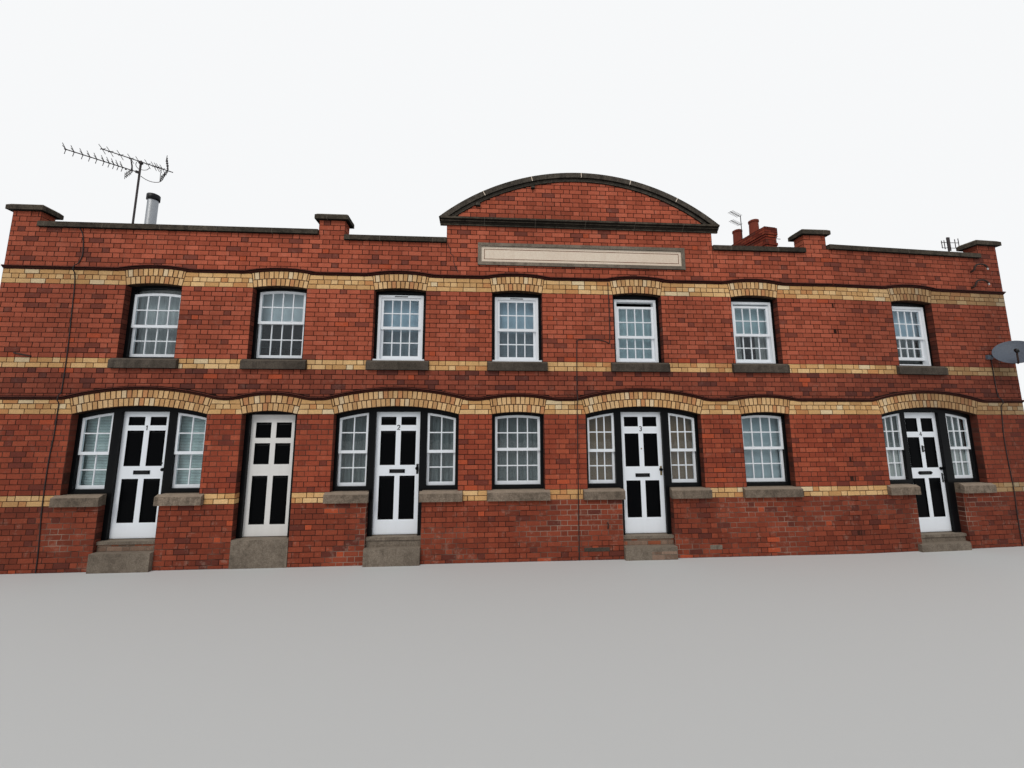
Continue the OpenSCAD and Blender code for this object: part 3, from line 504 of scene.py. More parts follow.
def rods(start: Points, end: Points, radius: float) -> Surface:
    """Round rods with eight sides and closed ends.

    Args:
        start: One end of each rod.
        end: The other end of each.
        radius: Their radius.

    Returns:
        The surface.
    """
    a, b = np.asarray(start, float), np.asarray(end, float)
    way = (b - a) / np.linalg.norm(b - a, axis=1, keepdims=True)
    aside = np.where(np.abs(way[:, 2:]) > 0.9, [[1.0, 0, 0]], [[0, 0, 1.0]])
    e1 = np.cross(way, aside)
    e1 /= np.linalg.norm(e1, axis=1, keepdims=True)
    e2 = np.cross(way, e1)
    t = np.arange(8) * math.pi / 4
    ring = radius * (e1[:, None] * np.cos(t)[:, None] + e2[:, None] * np.sin(t)[:, None])
    points = np.concatenate((a[:, None] + ring, b[:, None] + ring), 1)
    k = np.arange(8)
    ends = np.array([k[::-1], k + 8])
    return Surface(points, [repeat_faces(faces, len(a), 16) for faces in (bands(8), ends)])


def rounded(path: Points, times: int = 2) -> Array:
    """A path with its corners cut: each line keeps its points at a quarter and three quarters.

    Args:
        path: The points.
        times: How often the corners are cut.

    Returns:
        The new points, with the same two ends.
    """
    p = np.asarray(path, float)
    for _ in range(times):
        near, far = p[:-1] * 0.75 + p[1:] * 0.25, p[:-1] * 0.25 + p[1:] * 0.75
        p = np.concatenate((p[:1], np.stack((near, far), 1).reshape(-1, p.shape[1]), p[-1:]))
    return p


def tube(path: Points, radius: float, sides: int = 6) -> Surface:
    """A round tube: a circle carried along a path and closed at both ends.

    Args:
        path: The middle line.
        radius: Its radius.
        sides: How many sides it has.

    Returns:
        The surface.
    """
    p = np.asarray(path, float)
    way = np.gradient(p, axis=0)
    way /= np.linalg.norm(way, axis=1, keepdims=True)
    e1 = np.cross(way, np.array([0.37, 0.61, 0.7]))
    e1 /= np.linalg.norm(e1, axis=1, keepdims=True)
    e2 = np.cross(way, e1)
    t = np.arange(sides)[:, None] * 2 * math.pi / sides
    points = p[:, None] + radius * (e1[:, None] * np.cos(t) + e2[:, None] * np.sin(t))
    k = np.arange(sides)
    ends = np.array([k[::-1], k + (len(p) - 1) * sides])
    return Surface(points, [bands(sides, len(p)), ends])


def turned(
    profile: Points,
    centre: Sequence[float],
    axis: Sequence[float] = (0, 0, 1),
    sides: int = 24,
) -> Surface:
    """A turned shape: a profile of (radius, height) swept round an axis.

    Args:
        profile: Radii and heights, from the start of the axis onwards.
        centre: Where height nought lies.
        axis: Direction of the axis.
        sides: How many sides it has.

    Returns:
        The surface, with smooth shading.
    """
    w = np.asarray(axis, float)
    w /= np.linalg.norm(w)
    aside = np.array([1.0, 0, 0]) if abs(w[2]) > 0.9 else np.array([0, 0, 1.0])
    e1 = np.cross(aside, w)
    e1 /= np.linalg.norm(e1)
    e2 = np.cross(w, e1)
    t = np.arange(sides) * 2 * math.pi / sides
    line = np.asarray(profile, float)
    r, h = line[:, 0, None, None], line[:, 1, None, None]
    round_ = e1 * np.cos(t)[:, None] + e2 * np.sin(t)[:, None]
    points = np.asarray(centre, float) + r * round_ + h * w
    return Surface(points, [bands(sides, len(line))], smooth=True)


# Finishes


def srgb(red: float, green: float, blue: float) -> Colour:
    """A screen colour as the linear colour that shaders take.

    Args:
        red: From 0 to 255.
        green: From 0 to 255.
        blue: From 0 to 255.

    Returns:
        Linear red, green and blue, and one.
    """
    c = np.array((red, green, blue)) / 255
    lin = np.where(c <= 0.04045, c / 12.92, ((c + 0.055) / 1.055) ** 2.4)
    return (float(lin[0]), float(lin[1]), float(lin[2]), 1.0)


@dataclass
class Nodes:
    """Short calls for building a node tree."""

    tree: bpy.types.NodeTree

    def new(self, kind: str, props: dict | None = None, **inputs: object) -> bpy.types.Node:
        """Adds a node, sets its properties, and feeds its inputs.

        Args:
            kind: Type name of the node.
            props: Its own properties.
            inputs: Sockets or constants by input name, with _ for a space.

        Returns:
            The node.
        """
        node = self.tree.nodes.new(kind)
        for key, value in (props or {}).items():
            setattr(node, key, value)
        for key, value in inputs.items():
            self.feed(node.inputs[key.replace("_", " ")], value)
        return node

    def feed(self, socket: Socket, value: object) -> None:
        """Links a socket or sets its constant.

        Args:
            socket: The input.
            value: An output socket or a constant.
        """
        if isinstance(value, Socket):
            self.tree.links.new(value, socket)
        else:
            socket.default_value = value

    def math(self, how: str, a: object, b: object = 0.0) -> Socket:
        """A sum of two values.

        Args:
            how: The operation.
            a: First value.
            b: Second value.

        Returns:
            The result.
        """
        node = self.tree.nodes.new("ShaderNodeMath")
        node.operation = how
        self.feed(node.inputs[0], a)
        self.feed(node.inputs[1], b)
        return node.outputs[0]

    def mix(self, share: object, a: object, b: object, blend: str = "MIX") -> Socket:
        """A mix of two colours.

        Args:
            share: How much of the second one.
            a: First colour.
            b: Second colour.
            blend: How they mix.

        Returns:
            The mixed colour.
        """
        node = self.tree.nodes.new("ShaderNodeMix")
        node.data_type = "RGBA"
        node.blend_type = blend
        self.feed(node.inputs[0], share)
        self.feed(node.inputs[6], a)
        self.feed(node.inputs[7], b)
        return node.outputs[2]

    def ramp(self, value: object, stops: Sequence[tuple[float, Sequence[float]]]) -> Socket:
        """A colour ramp.

        Args:
            value: What drives it.
            stops: Positions and colours.

        Returns:
            The colour.
        """
        node = self.tree.nodes.new("ShaderNodeValToRGB")
        ramp = node.color_ramp
        while len(ramp.elements) < len(stops):
            ramp.elements.new(0.5)
        for element, (position, colour) in zip(ramp.elements, stops):
            element.position = position
            element.color = colour
        self.feed(node.inputs[0], value)
        return node.outputs[0]

    def span(
        self, value: object, low: float, high: float, to_low: float = 0.0, to_high: float = 1.0
    ) -> Socket:
        """A value stretched from one span to another, and held within it."""
        ends = {"From_Min": low, "From_Max": high, "To_Min": to_low, "To_Max": to_high}
        return self.new("ShaderNodeMapRange", Value=value, **ends).outputs[0]

    def noise(
        self, vector: object, scale: float, detail: float = 4.0, rough: float = 0.55
    ) -> Socket:
        """A noise value from nought to one."""
        inputs = {"Vector": vector, "Scale": scale, "Detail": detail, "Roughness": rough}
        return self.new("ShaderNodeTexNoise", **inputs).outputs[0]

    def part(self, vector: object, which: int) -> Socket:
        """One part of a vector, by its number."""
        return self.new("ShaderNodeSeparateXYZ", Vector=vector).outputs[which]

    def times(self, a: object, b: object) -> Socket:
        """The product of two values."""
        return self.math("MULTIPLY", a, b)

    def joints(self, where: object, length: float, wide: float) -> Socket:
        """One in the joints between stones laid along the row, nought on the stones.

        Args:
            where: The place.
            length: Length of a stone with its joint.
            wide: Width of a joint.

        Returns:
            The mask.
        """
        along = self.math("ADD", self.part(where, 0), 50.0)
        share = self.math("FRACT", self.math("DIVIDE", along, length))
        return self.math("LESS_THAN", share, wide / length)

    def dim(self, colour: object, by: object) -> Socket:
        """A colour times a brightness."""
        grey = self.new("ShaderNodeCombineColor", Red=by, Green=by, Blue=by).outputs[0]
        return self.mix(1.0, colour, grey, "MULTIPLY")

    def stretched(self, where: object, scale: tuple[float, ...]) -> Socket:
        """A place with each of its axes scaled."""
        return self.new("ShaderNodeMapping", Vector=where, Scale=scale).outputs[0]

    def bump(self, height: object, strength: float, distance: float) -> Socket:
        """A bumped normal."""
        inputs = {"Height": height, "Strength": strength, "Distance": distance}
        return self.new("ShaderNodeBump", **inputs).outputs[0]

    def shader(self, colour: object, rough: object, normal: Socket, **more: object) -> Socket:
        """The main shader, of no metal unless told."""
        inputs = {"Base_Color": colour, "Roughness": rough, "Normal": normal, "Metallic": 0.0}
        return self.new("ShaderNodeBsdfPrincipled", **(inputs | more)).outputs[0]

    def blend(self, share: object, first: Socket, second: Socket) -> Socket:
        """A mix of two shaders.

        Args:
            share: How much of the second one.
            first: The first shader.
            second: The second one.

        Returns:
            The mixed shader.
        """
        node = self.tree.nodes.new("ShaderNodeMixShader")
        for socket, value in zip(node.inputs, (share, first, second)):
            self.feed(socket, value)
        return node.outputs[0]


Effect = Callable[[Nodes, Socket], dict[str, Socket]]


def effect_group(name: str, build: Effect) -> bpy.types.NodeTree:
    """A shared effect: a node group from a place to some masks.

    Args:
        name: Name of the group.
        build: Makes its nodes and returns its outputs by name.

    Returns:
        The group.
    """
    found = bpy.data.node_groups.get(name)
    if found is not None:
        return found
    tree = bpy.data.node_groups.new(name, "ShaderNodeTree")
    tree.interface.new_socket("Vector", in_out="INPUT", socket_type="NodeSocketVector")
    nodes = Nodes(tree)
    start = tree.nodes.new("NodeGroupInput")
    results = build(nodes, start.outputs[0])
    for key in results:
        tree.interface.new_socket(key, in_out="OUTPUT", socket_type="NodeSocketFloat")
    end = tree.nodes.new("NodeGroupOutput")
    for key, socket in results.items():
        tree.links.new(socket, end.inputs[key])
    return tree


def weather_masks(n: Nodes, where: Socket) -> dict[str, Socket]:
    """Broad soot patches, runs of rain dirt and a fine grain.

    Args:
        n: The nodes of the group.
        where: The place.

    Returns:
        The masks by name.
    """
    broad = n.span(n.noise(where, 0.55, 5.0, 0.6), 0.38, 0.68)
    runs = n.span(n.noise(n.stretched(where, (5.0, 5.0, 0.35)), 1.6, 4.0, 0.6), 0.45, 0.75)
    grain = n.noise(where, 55.0, 5.0, 0.65)
    fine = n.noise(where, 260.0, 3.0, 0.6)
    return {"Broad": broad, "Runs": runs, "Grain": grain, "Fine": fine}


class Finish:
    """Base of the finishes: keeps one material for each slot."""

    name: str

    def material(self) -> bpy.types.Material:
        """The material, made on first use.

        Returns:
            The material.
        """
        name = f"{self.name}_finish"
        found = bpy.data.materials.get(name)
        if found is not None:
            return found
        made = bpy.data.materials.new(name)
        made.use_nodes = True
        tree = made.node_tree
        tree.nodes.clear()
        n = Nodes(tree)
        out = tree.nodes.new("ShaderNodeOutputMaterial")
        where = n.new("ShaderNodeTexCoord").outputs["Object"]
        group = tree.nodes.new("ShaderNodeGroup")
        group.node_tree = effect_group("weather", weather_masks)
        n.feed(group.inputs[0], where)
        tree.links.new(self.build(n, where, group.outputs), out.inputs[0])
        return made

    def build(self, n: Nodes, where: Socket, masks: Masks) -> Socket:
        """The shader, made anew by each kind of finish.

        Args:
            n: The nodes of the material.
            where: The place.
            masks: The weather masks by name.

        Returns:
            The shader.
        """
        raise NotImplementedError


@dataclass(frozen=True)
class BrickFinish(Finish):
    """Weathered bricks, each with its own tone from the tint of its points."""

    name: str
    dark: Colour
    mid: Colour
    light: Colour
    odd: Colour
    odd_share: float = 0.12
    soot: float = 0.35
    soot_colour: Colour = srgb(58, 34, 28)
    bright: Colour = srgb(186, 86, 56)
    bright_share: float = 0.015
    lime_share: float = 0.12
    wing: Colour = srgb(70, 38, 32)
    wing_share: float = 0.28
    wing_from: float = 4.9
    wing_run: float = 1.1
    last: tuple[float, float] = (8.0, 8.8)
    limed: tuple[float, float] = (8.2, 8.8)
    sooted: tuple[float, float] = (-6.8, -8.2)

    def build(self, n: Nodes, where: Socket, masks: Masks) -> Socket:
        """Bricks toned by their tint, then dirt, lime and the dark end of the row.

        Args:
            n: The nodes of the material.
            where: The place.
            masks: The weather masks by name.

        Returns:
            The shader.
        """
        tint = n.new("ShaderNodeVertexColor", {"layer_name": "brick"}).outputs[0]
        split = n.new("ShaderNodeSeparateColor", Color=tint)
        tone, pick, wear = split.outputs[0], split.outputs[1], split.outputs[2]
        base = n.ramp(tone, [(0.0, self.dark), (0.45, self.mid), (1.0, self.light)])
        base = n.mix(n.math("LESS_THAN", pick, self.odd_share), base, self.odd)
        base = n.mix(n.math("GREATER_THAN", pick, 1 - self.bright_share), base, self.bright)
        base = n.dim(base, n.span(masks["Grain"], 0.3, 0.7, 0.78, 1.18))
        patch = n.times(masks["Broad"], n.span(wear, 0.0, 1.0, 0.35, 1.0))
        dirt = n.times(n.math("ADD", patch, n.times(masks["Runs"], 0.45)), self.soot)
        base = n.mix(dirt, base, self.soot_colour)
        lime = n.span(n.noise(where, 7.0, 6.0, 0.75), 0.56, 0.72, 0.0, self.lime_share)
        along = n.part(where, 0)
        lime = n.times(lime, n.span(along, *self.limed, 1.0, 3.0))
        base = n.mix(lime, base, srgb(190, 168, 150))
        base = n.mix(n.span(along, *self.sooted, 0.0, 0.18), base, self.soot_colour)
        start, share = self.wing_from, self.wing_share
        base = n.mix(n.span(along, start, start + self.wing_run, 0.0, share), base, self.wing)
        base = n.mix(n.span(along, *self.last, 0.0, min(share, 0.3)), base, self.wing)
        rough = n.span(masks["Grain"], 0.3, 0.7, 0.78, 0.95)
        height = n.math("ADD", masks["Grain"], n.times(masks["Fine"], 0.4))
        return n.shader(base, rough, n.bump(height, 0.5, 0.002), Specular_IOR_Level=0.1)


@dataclass(frozen=True)
class MortarFinish(Finish):
    """Mortar that shows between the bricks and on the inner faces."""

    name: str
    colour: Colour
    pale: Colour
    pale_share: float = 0.5

    def build(self, n: Nodes, where: Socket, masks: Masks) -> Socket:
        """Mortar with pale patches and a dark grain.

        Args:
            n: The nodes of the material.
            where: The place.
            masks: The weather masks by name.

        Returns:
            The shader.
        """
        patch = n.times(n.span(n.noise(where, 0.8, 4.0, 0.6), 0.48, 0.62), self.pale_share)
        base = n.mix(patch, self.colour, self.pale)
        base = n.mix(n.span(masks["Grain"], 0.35, 0.7, 0.0, 0.35), base, srgb(60, 48, 42))
        normal = n.bump(masks["Fine"], 0.6, 0.0015)
        return n.shader(base, 0.95, normal, Specular_IOR_Level=0.05)


@dataclass(frozen=True)
class StoneFinish(Finish):
    """Stone, slate or clay with grain and dark patches, and where worn is set, painted top light
    and painted shade beneath.
    """

    name: str
    low: Colour
    high: Colour
    patch: Colour = srgb(38, 35, 32)
    patch_share: float = 0.5
    roughness: float = 0.88
    relief: float = 0.003
    stone: float = 0.0
    # worn scales the blotches and the painted top light, and turns on near-black painted shade on
    # faces turned down.
    worn: float = 0.0

    def build(self, n: Nodes, where: Socket, masks: Masks) -> Socket:
        """Stone of two tones with patches, blotches, specks and joints; with worn set, tops get
        painted light and undersides painted shade.

        Args:
            n: The nodes of the material.
            where: The place.
            masks: The weather masks by name.

        Returns:
            The shader.
        """
        base = n.ramp(masks["Grain"], [(0.3, self.low), (0.7, self.high)])
        share = n.times(n.math("MAXIMUM", masks["Broad"], masks["Runs"]), self.patch_share)
        base = n.mix(share, base, self.patch)
        if self.worn:
            blotch = n.span(n.noise(where, 11.0, 6.0, 0.7), 0.46, 0.64, 0.0, self.worn)
            base = n.mix(blotch, base, self.patch)
            up = n.part(n.new("ShaderNodeTexCoord").outputs["Normal"], 2)
            # Painted top light: faces turned up go lighter, partly weathering and partly light
            # falling from above.
            base = n.mix(n.span(up, 0.2, 0.7, 0.0, self.worn), base, self.high)
            # Painted shade: faces turned down go near black.
            base = n.mix(n.span(up, -0.1, -0.6, 0.0, 0.85), base, srgb(10, 9, 8))
        speck = n.span(masks["Fine"], 0.62, 0.74, 0.0, 0.4)
        base = n.mix(speck, base, srgb(120, 112, 100))
        if self.stone:
            joint = n.joints(where, self.stone, 0.012)
            base = n.mix(n.times(joint, 0.6), base, srgb(104, 96, 86))
        height = n.math("ADD", masks["Grain"], n.times(masks["Fine"], 0.5))
        normal = n.bump(height, 0.6, self.relief)
        return n.shader(base, self.roughness, normal, Specular_IOR_Level=0.12)


@dataclass(frozen=True)
class StringFinish(Finish):
    """Moulded brick: a red roll, a dark top fillet and a black underside of painted shade."""

    name: str
    front: Colour
    top: Colour
    # under: near-black painted shade on faces turned down; the joints take it too.
    under: Colour
    brick: float = 0.229

    def build(self, n: Nodes, where: Socket, masks: Masks) -> Socket:
        """Moulded brick, darker above and black below as painted shade, with joints.

        Args:
            n: The nodes of the material.
            where: The place.
            masks: The weather masks by name.

        Returns:
            The shader.
        """
        up = n.part(n.new("ShaderNodeTexCoord").outputs["Normal"], 2)
        base = n.mix(n.span(masks["Grain"], 0.3, 0.7, 0.0, 0.5), self.front, self.top)
        base = n.mix(n.span(up, 0.3, 0.6), base, self.top)
        # Painted shade: faces turned down take the near-black under colour.
        base = n.mix(n.span(up, -0.25, -0.6), base, self.under)
        joint = n.joints(where, self.brick, 0.009)
        base = n.mix(n.times(joint, 0.7), base, self.under)
        normal = n.bump(masks["Grain"], 0.4, 0.002)
        return n.shader(base, 0.8, normal, Specular_IOR_Level=0.12)


@dataclass(frozen=True)
class PaintFinish(Finish):
    """Gloss paint with faint brush relief and some dirt."""

    name: str
    colour: Colour
    dirt: Colour
    dirt_share: float = 0.15
    roughness: float = 0.32
    coat: float = 0.3
    shine: float = 0.4

    def build(self, n: Nodes, where: Socket, masks: Masks) -> Socket:
        """Paint with spots and runs of dirt under a thin coat.

        Args:
            n: The nodes of the material.
            where: The place.
            masks: The weather masks by name.

        Returns:
            The shader.
        """
        spots = n.times(n.span(masks["Grain"], 0.55, 0.8), self.dirt_share)
        runs = n.times(masks["Runs"], self.dirt_share * 0.6)
        base = n.mix(n.math("ADD", spots, runs), self.colour, self.dirt)
        brush = n.noise(n.stretched(where, (90.0, 90.0, 6.0)), 1.0, 3.0)
        return n.shader(
            base,
            self.roughness,
            n.bump(brush, 0.12, 0.001),
            Specular_IOR_Level=self.shine,
            Coat_Weight=self.coat,
            Coat_Roughness=0.15,
        )


@dataclass(frozen=True)
class MetalFinish(Finish):
    """Weathered metal."""

    name: str
    colour: Colour
    worn: Colour
    metallic: float = 1.0
    roughness: float = 0.45

    def build(self, n: Nodes, where: Socket, masks: Masks) -> Socket:
        """Metal of two tones with a fine grain.

        Args:
            n: The nodes of the material.
            where: The place.
            masks: The weather masks by name.

        Returns:
            The shader.
        """
        base = n.mix(n.span(masks["Grain"], 0.45, 0.7, 0.0, 0.7), self.colour, self.worn)
        normal = n.bump(masks["Fine"], 0.2, 0.0006)
        return n.shader(base, self.roughness, normal, Metallic=self.metallic)


@dataclass(frozen=True)
class GlassFinish(Finish):
    """Old window glass that lets daylight into the rooms."""

    name: str
    colour: Colour = (0.86, 0.93, 0.95, 1.0)

    def build(self, n: Nodes, where: Socket, masks: Masks) -> Socket:
        """Rippled glass that daylight passes without a shadow.

        Args:
            n: The nodes of the material.
            where: The place.
            masks: The weather masks by name.

        Returns:
            The shader.
        """
        ripple = n.noise(where, 5.0, 2.0)
        normal = n.bump(ripple, 0.25, 0.004)
        glass = n.shader(self.colour, 0.02, normal, IOR=1.5, Transmission_Weight=1.0)
        clear = n.new("ShaderNodeBsdfTransparent", Color=(0.9, 0.94, 0.95, 1.0)).outputs[0]
        path = n.new("ShaderNodeLightPath")
        inside = n.math("MAXIMUM", path.outputs["Is Shadow Ray"], path.outputs["Is Diffuse Ray"])
        return n.blend(inside, glass, clear)


@dataclass(frozen=True)
class ClothFinish(Finish):
    """Thin curtain cloth that lets some light through, of another tone below a height as painted
    reflection of the panes.
    """

    name: str
    colour: Colour
    through: float = 0.3
    # low and turn paint the glass reflection: a darker tone below the meeting rail, where the lower
    # panes show less sky.
    low: Colour | None = None
    turn: float = 3.9

    def build(self, n: Nodes, where: Socket, masks: Masks) -> Socket:
        """Cloth seen from the front, with light from behind.

        Args:
            n: The nodes of the material.
            where: The place.
            masks: The weather masks by name.

        Returns:
            The shader.
        """
        base = self.colour
        # Painted reflection: the tone changes at the meeting rail height.
        if self.low is not None:
            height = n.part(where, 2)
            base = n.mix(n.span(height, self.turn - 0.05, self.turn + 0.05), self.low, self.colour)
        base = n.dim(base, n.span(masks["Fine"], 0.35, 0.7, 0.9, 1.06))
        front = n.new("ShaderNodeBsdfDiffuse", Color=base).outputs[0]
        back = n.new("ShaderNodeBsdfTranslucent", Color=base).outputs[0]
        return n.blend(self.through, front, back)


class Looks(Enum):
    """The finishes of the row, each for one material slot of the record or one use."""

    PLINTH = BrickFinish(
        "plinth_brick", srgb(124, 60, 44), srgb(140, 67, 48), srgb(156, 77, 55), srgb(108, 56, 46),
        0.06, lime_share=0.3,
    )
    GROUND = BrickFinish(
        "ground_brick", srgb(144, 67, 48), srgb(162, 77, 55), srgb(178, 89, 63), srgb(124, 62, 50),
        0.05,
    )
    MIDDLE = BrickFinish(
        "middle_brick", srgb(130, 66, 50), srgb(148, 75, 57), srgb(166, 87, 65), srgb(104, 58, 50),
        0.1, 0.4,
    )
    UPPER = BrickFinish(
        "upper_brick", srgb(160, 80, 58), srgb(176, 89, 65), srgb(190, 100, 75), srgb(132, 69, 55),
        0.07, 0.35,
    )
    PARAPET = BrickFinish(
        "parapet_brick", srgb(162, 80, 58), srgb(182, 92, 67), srgb(198, 105, 79),
        srgb(130, 70, 57), 0.08, 0.4,
    )
    RISER = BrickFinish(
        "riser_brick", srgb(112, 92, 78), srgb(136, 112, 96), srgb(156, 130, 112),
        srgb(160, 92, 66), 0.2, 0.4, bright_share=0.05, lime_share=0.5,
    )
    # Reveal sides: a darker copy of the wall brick, as painted shade inside the openings.
    SHADED_REVEAL = BrickFinish(
        "shaded_reveal_brick", srgb(90, 46, 36), srgb(108, 55, 43), srgb(124, 64, 50), srgb(76, 44, 37),
        bright_share=0.0,
    )
    # Arch undersides: dark brown bricks as painted shade under the arches.
    SHADED_SOFFIT = BrickFinish(
        "shaded_soffit_brick", srgb(34, 26, 20), srgb(52, 40, 30), srgb(66, 52, 38), srgb(40, 30, 24),
        bright_share=0.0,
    )
    YELLOW = BrickFinish(
        "yellow_brick", srgb(204, 154, 100), srgb(226, 178, 120), srgb(240, 200, 146),
        srgb(208, 146, 94), 0.12, 0.3, srgb(92, 72, 54), srgb(238, 212, 170), 0.06, 0.12,
        srgb(94, 78, 64), 0.5, 6.0,
    )
    ARCH = BrickFinish(
        "arch_brick", srgb(196, 148, 100), srgb(220, 173, 118), srgb(234, 193, 142),
        srgb(202, 142, 96), 0.1, 0.3, srgb(92, 72, 54), srgb(234, 206, 166), 0.05, 0.12,
        srgb(84, 68, 56), 0.5, 6.0,
    )
    PLAIN = BrickFinish(
        "plain_brick", srgb(104, 46, 36), srgb(150, 70, 50), srgb(176, 90, 64), srgb(116, 66, 56),
    )
    MORTAR = MortarFinish("mortar", srgb(58, 33, 27), srgb(122, 94, 80), 0.35)
    DARK_MORTAR = MortarFinish("dark_mortar", srgb(44, 24, 20), srgb(92, 62, 52), 0.25)
    PALE_MORTAR = MortarFinish("pale_mortar", srgb(66, 38, 31), srgb(186, 158, 140), 0.75)
    YELLOW_MORTAR = MortarFinish("yellow_mortar", srgb(62, 40, 28), srgb(120, 94, 70), 0.25)
    STRING = StringFinish("moulded_brick", srgb(112, 57, 46), srgb(24, 16, 14), srgb(9, 6, 6))
    # With worn set, these stones also get painted light: lighter tops and near-black painted shade
    # beneath.
    DARK_STONE = StoneFinish(
        "dark_stone", srgb(54, 48, 42), srgb(112, 101, 87), srgb(20, 18, 16), 0.8, stone=0.92,
        worn=0.45,
    )
    CURVED_STONE = StoneFinish(
        "curved_stone", srgb(56, 51, 46), srgb(112, 103, 92), srgb(24, 21, 20), 0.75, worn=0.4,
    )
    SILL_STONE = StoneFinish(
        "sill_stone", srgb(114, 101, 88), srgb(166, 148, 130), srgb(58, 51, 44), 0.7, worn=0.5,
    )
    DARK_SILL = StoneFinish(
        "dark_sill_stone", srgb(70, 63, 56), srgb(112, 101, 90), srgb(36, 32, 28), 0.75, worn=0.4,
    )
    GREY_STONE = StoneFinish(
        "grey_stone", srgb(112, 102, 91), srgb(158, 144, 128), srgb(66, 57, 49), 0.6, worn=0.4,
    )
    CREAM = StoneFinish(
        "cream_render", srgb(226, 206, 184), srgb(242, 228, 210), srgb(188, 152, 128), 0.25, 0.8,
        0.002,
    )
    BLACK = PaintFinish("black_gloss", srgb(14, 15, 17), srgb(44, 40, 36), 0.2, 0.3, 0.05, 0.1)
    WHITE = PaintFinish("white_paint", srgb(240, 243, 247), srgb(150, 144, 134), 0.12, 0.35)
    DOOR_WHITE = PaintFinish("white_door", srgb(242, 246, 251), srgb(150, 146, 140), 0.08, 0.3)
    DULL_WHITE = PaintFinish("dull_white_door", srgb(232, 229, 225), srgb(150, 142, 130), 0.16, 0.4)
    DOOR_BLACK = PaintFinish(
        "black_door_paint", srgb(7, 8, 10), srgb(20, 19, 18), 0.1, 0.3, 0.0, 0.04,
    )
    GLASS = GlassFinish("window_glass")
    SCREED = MortarFinish("floor_screed", srgb(120, 112, 104), srgb(150, 142, 132))
    BOARDS = StoneFinish(
        "floor_timber", srgb(120, 92, 62), srgb(156, 124, 86), srgb(90, 66, 44), 0.3, 0.6, 0.001,
    )
    SLATE = BrickFinish(
        "slate", srgb(62, 64, 72), srgb(78, 81, 90), srgb(96, 98, 106), srgb(86, 74, 78), 0.1, 0.3,
        srgb(44, 44, 46), bright_share=0.0, lime_share=0.05, wing_share=0.0,
    )
    STACK = BrickFinish(
        "stack_brick", srgb(110, 46, 34), srgb(146, 60, 42), srgb(170, 80, 56), srgb(120, 64, 52),
        soot=0.5,
    )
    CLAY = StoneFinish(
        "terracotta", srgb(122, 56, 44), srgb(156, 76, 58), srgb(84, 46, 38), 0.45, 0.85, 0.002,
    )
    STEEL = MetalFinish("flue_steel", (0.52, 0.53, 0.54, 1), (0.32, 0.32, 0.33, 1))
    ALUMINIUM = MetalFinish("aerial_metal", srgb(74, 66, 66), srgb(44, 36, 34), 0.2, 0.7)
    DISH = MetalFinish("dish_metal", srgb(84, 92, 104), srgb(62, 68, 78), 0.0, 0.6)
    LEAD = MetalFinish("lead", srgb(104, 108, 112), srgb(72, 74, 78), 0.4, 0.6)
    DARK_METAL = MetalFinish("dark_metal", srgb(28, 29, 31), srgb(58, 54, 50), 0.6, 0.4)
    BRASS = MetalFinish("dull_brass", srgb(150, 130, 84), srgb(84, 70, 46), 1.0, 0.35)
    # The two-tone nets are painted reflection in the panes: pale or sky-blue above the meeting
    # rail, darker below.
    GREY_NET = ClothFinish("grey_net", srgb(198, 202, 202), 0.3, srgb(156, 158, 158))
    PALE_BLIND = ClothFinish("pale_blind", srgb(228, 236, 240))
    NET_WITH_SKY_REFLECTION = ClothFinish("net_with_painted_sky_reflection", srgb(190, 214, 230), 0.3, srgb(126, 138, 146))
    LACE = ClothFinish("lace_curtain", srgb(182, 206, 212))
    CURTAIN = ClothFinish("grey_curtain", srgb(158, 158, 156), 0.2)
    PALE_FOLDS = ClothFinish("pale_curtain", srgb(190, 190, 186), 0.25)
    LOW_FOLDS = ClothFinish("low_curtain", srgb(98, 102, 103), 0.15)
    DARK_FOLDS = ClothFinish("dark_curtain", srgb(116, 122, 122), 0.15)
    FLAT_PALE = ClothFinish("flat_blind", srgb(188, 204, 210))
    BROWN = ClothFinish("brown_blind", srgb(134, 112, 92), 0.1)
    SLATS = PaintFinish("blind_slats", srgb(190, 206, 204), srgb(150, 160, 158), 0.1, 0.5, 0.0, 0.2)
    BORDER = PaintFinish(
        "plaque_border", srgb(118, 74, 56), srgb(206, 190, 162), 0.7, 0.8, 0.0, 0.1,
    )
    DARK_PANE = PaintFinish("dark_pane", srgb(22, 28, 34), srgb(34, 38, 42), 0.1, 0.08, 0.2, 0.5)
    IRON = MetalFinish("old_iron", srgb(44, 32, 27), srgb(84, 50, 36), 0.1, 0.8)
    CABLE = MetalFinish("cable_sheath", srgb(34, 26, 24), srgb(56, 44, 40), 0.0, 0.7)
    INSULATOR = PaintFinish("insulator", srgb(196, 194, 190), srgb(150, 144, 134), 0.1)

    def use(self) -> bpy.types.Material:
        """The material of this finish."""
        return self.value.material()


# Brickwork


class Bond(Enum):
    """How the bricks of a course follow each other."""

    FLEMISH = "flemish"
    STRETCHERS = "stretchers"
    HEADERS = "headers"


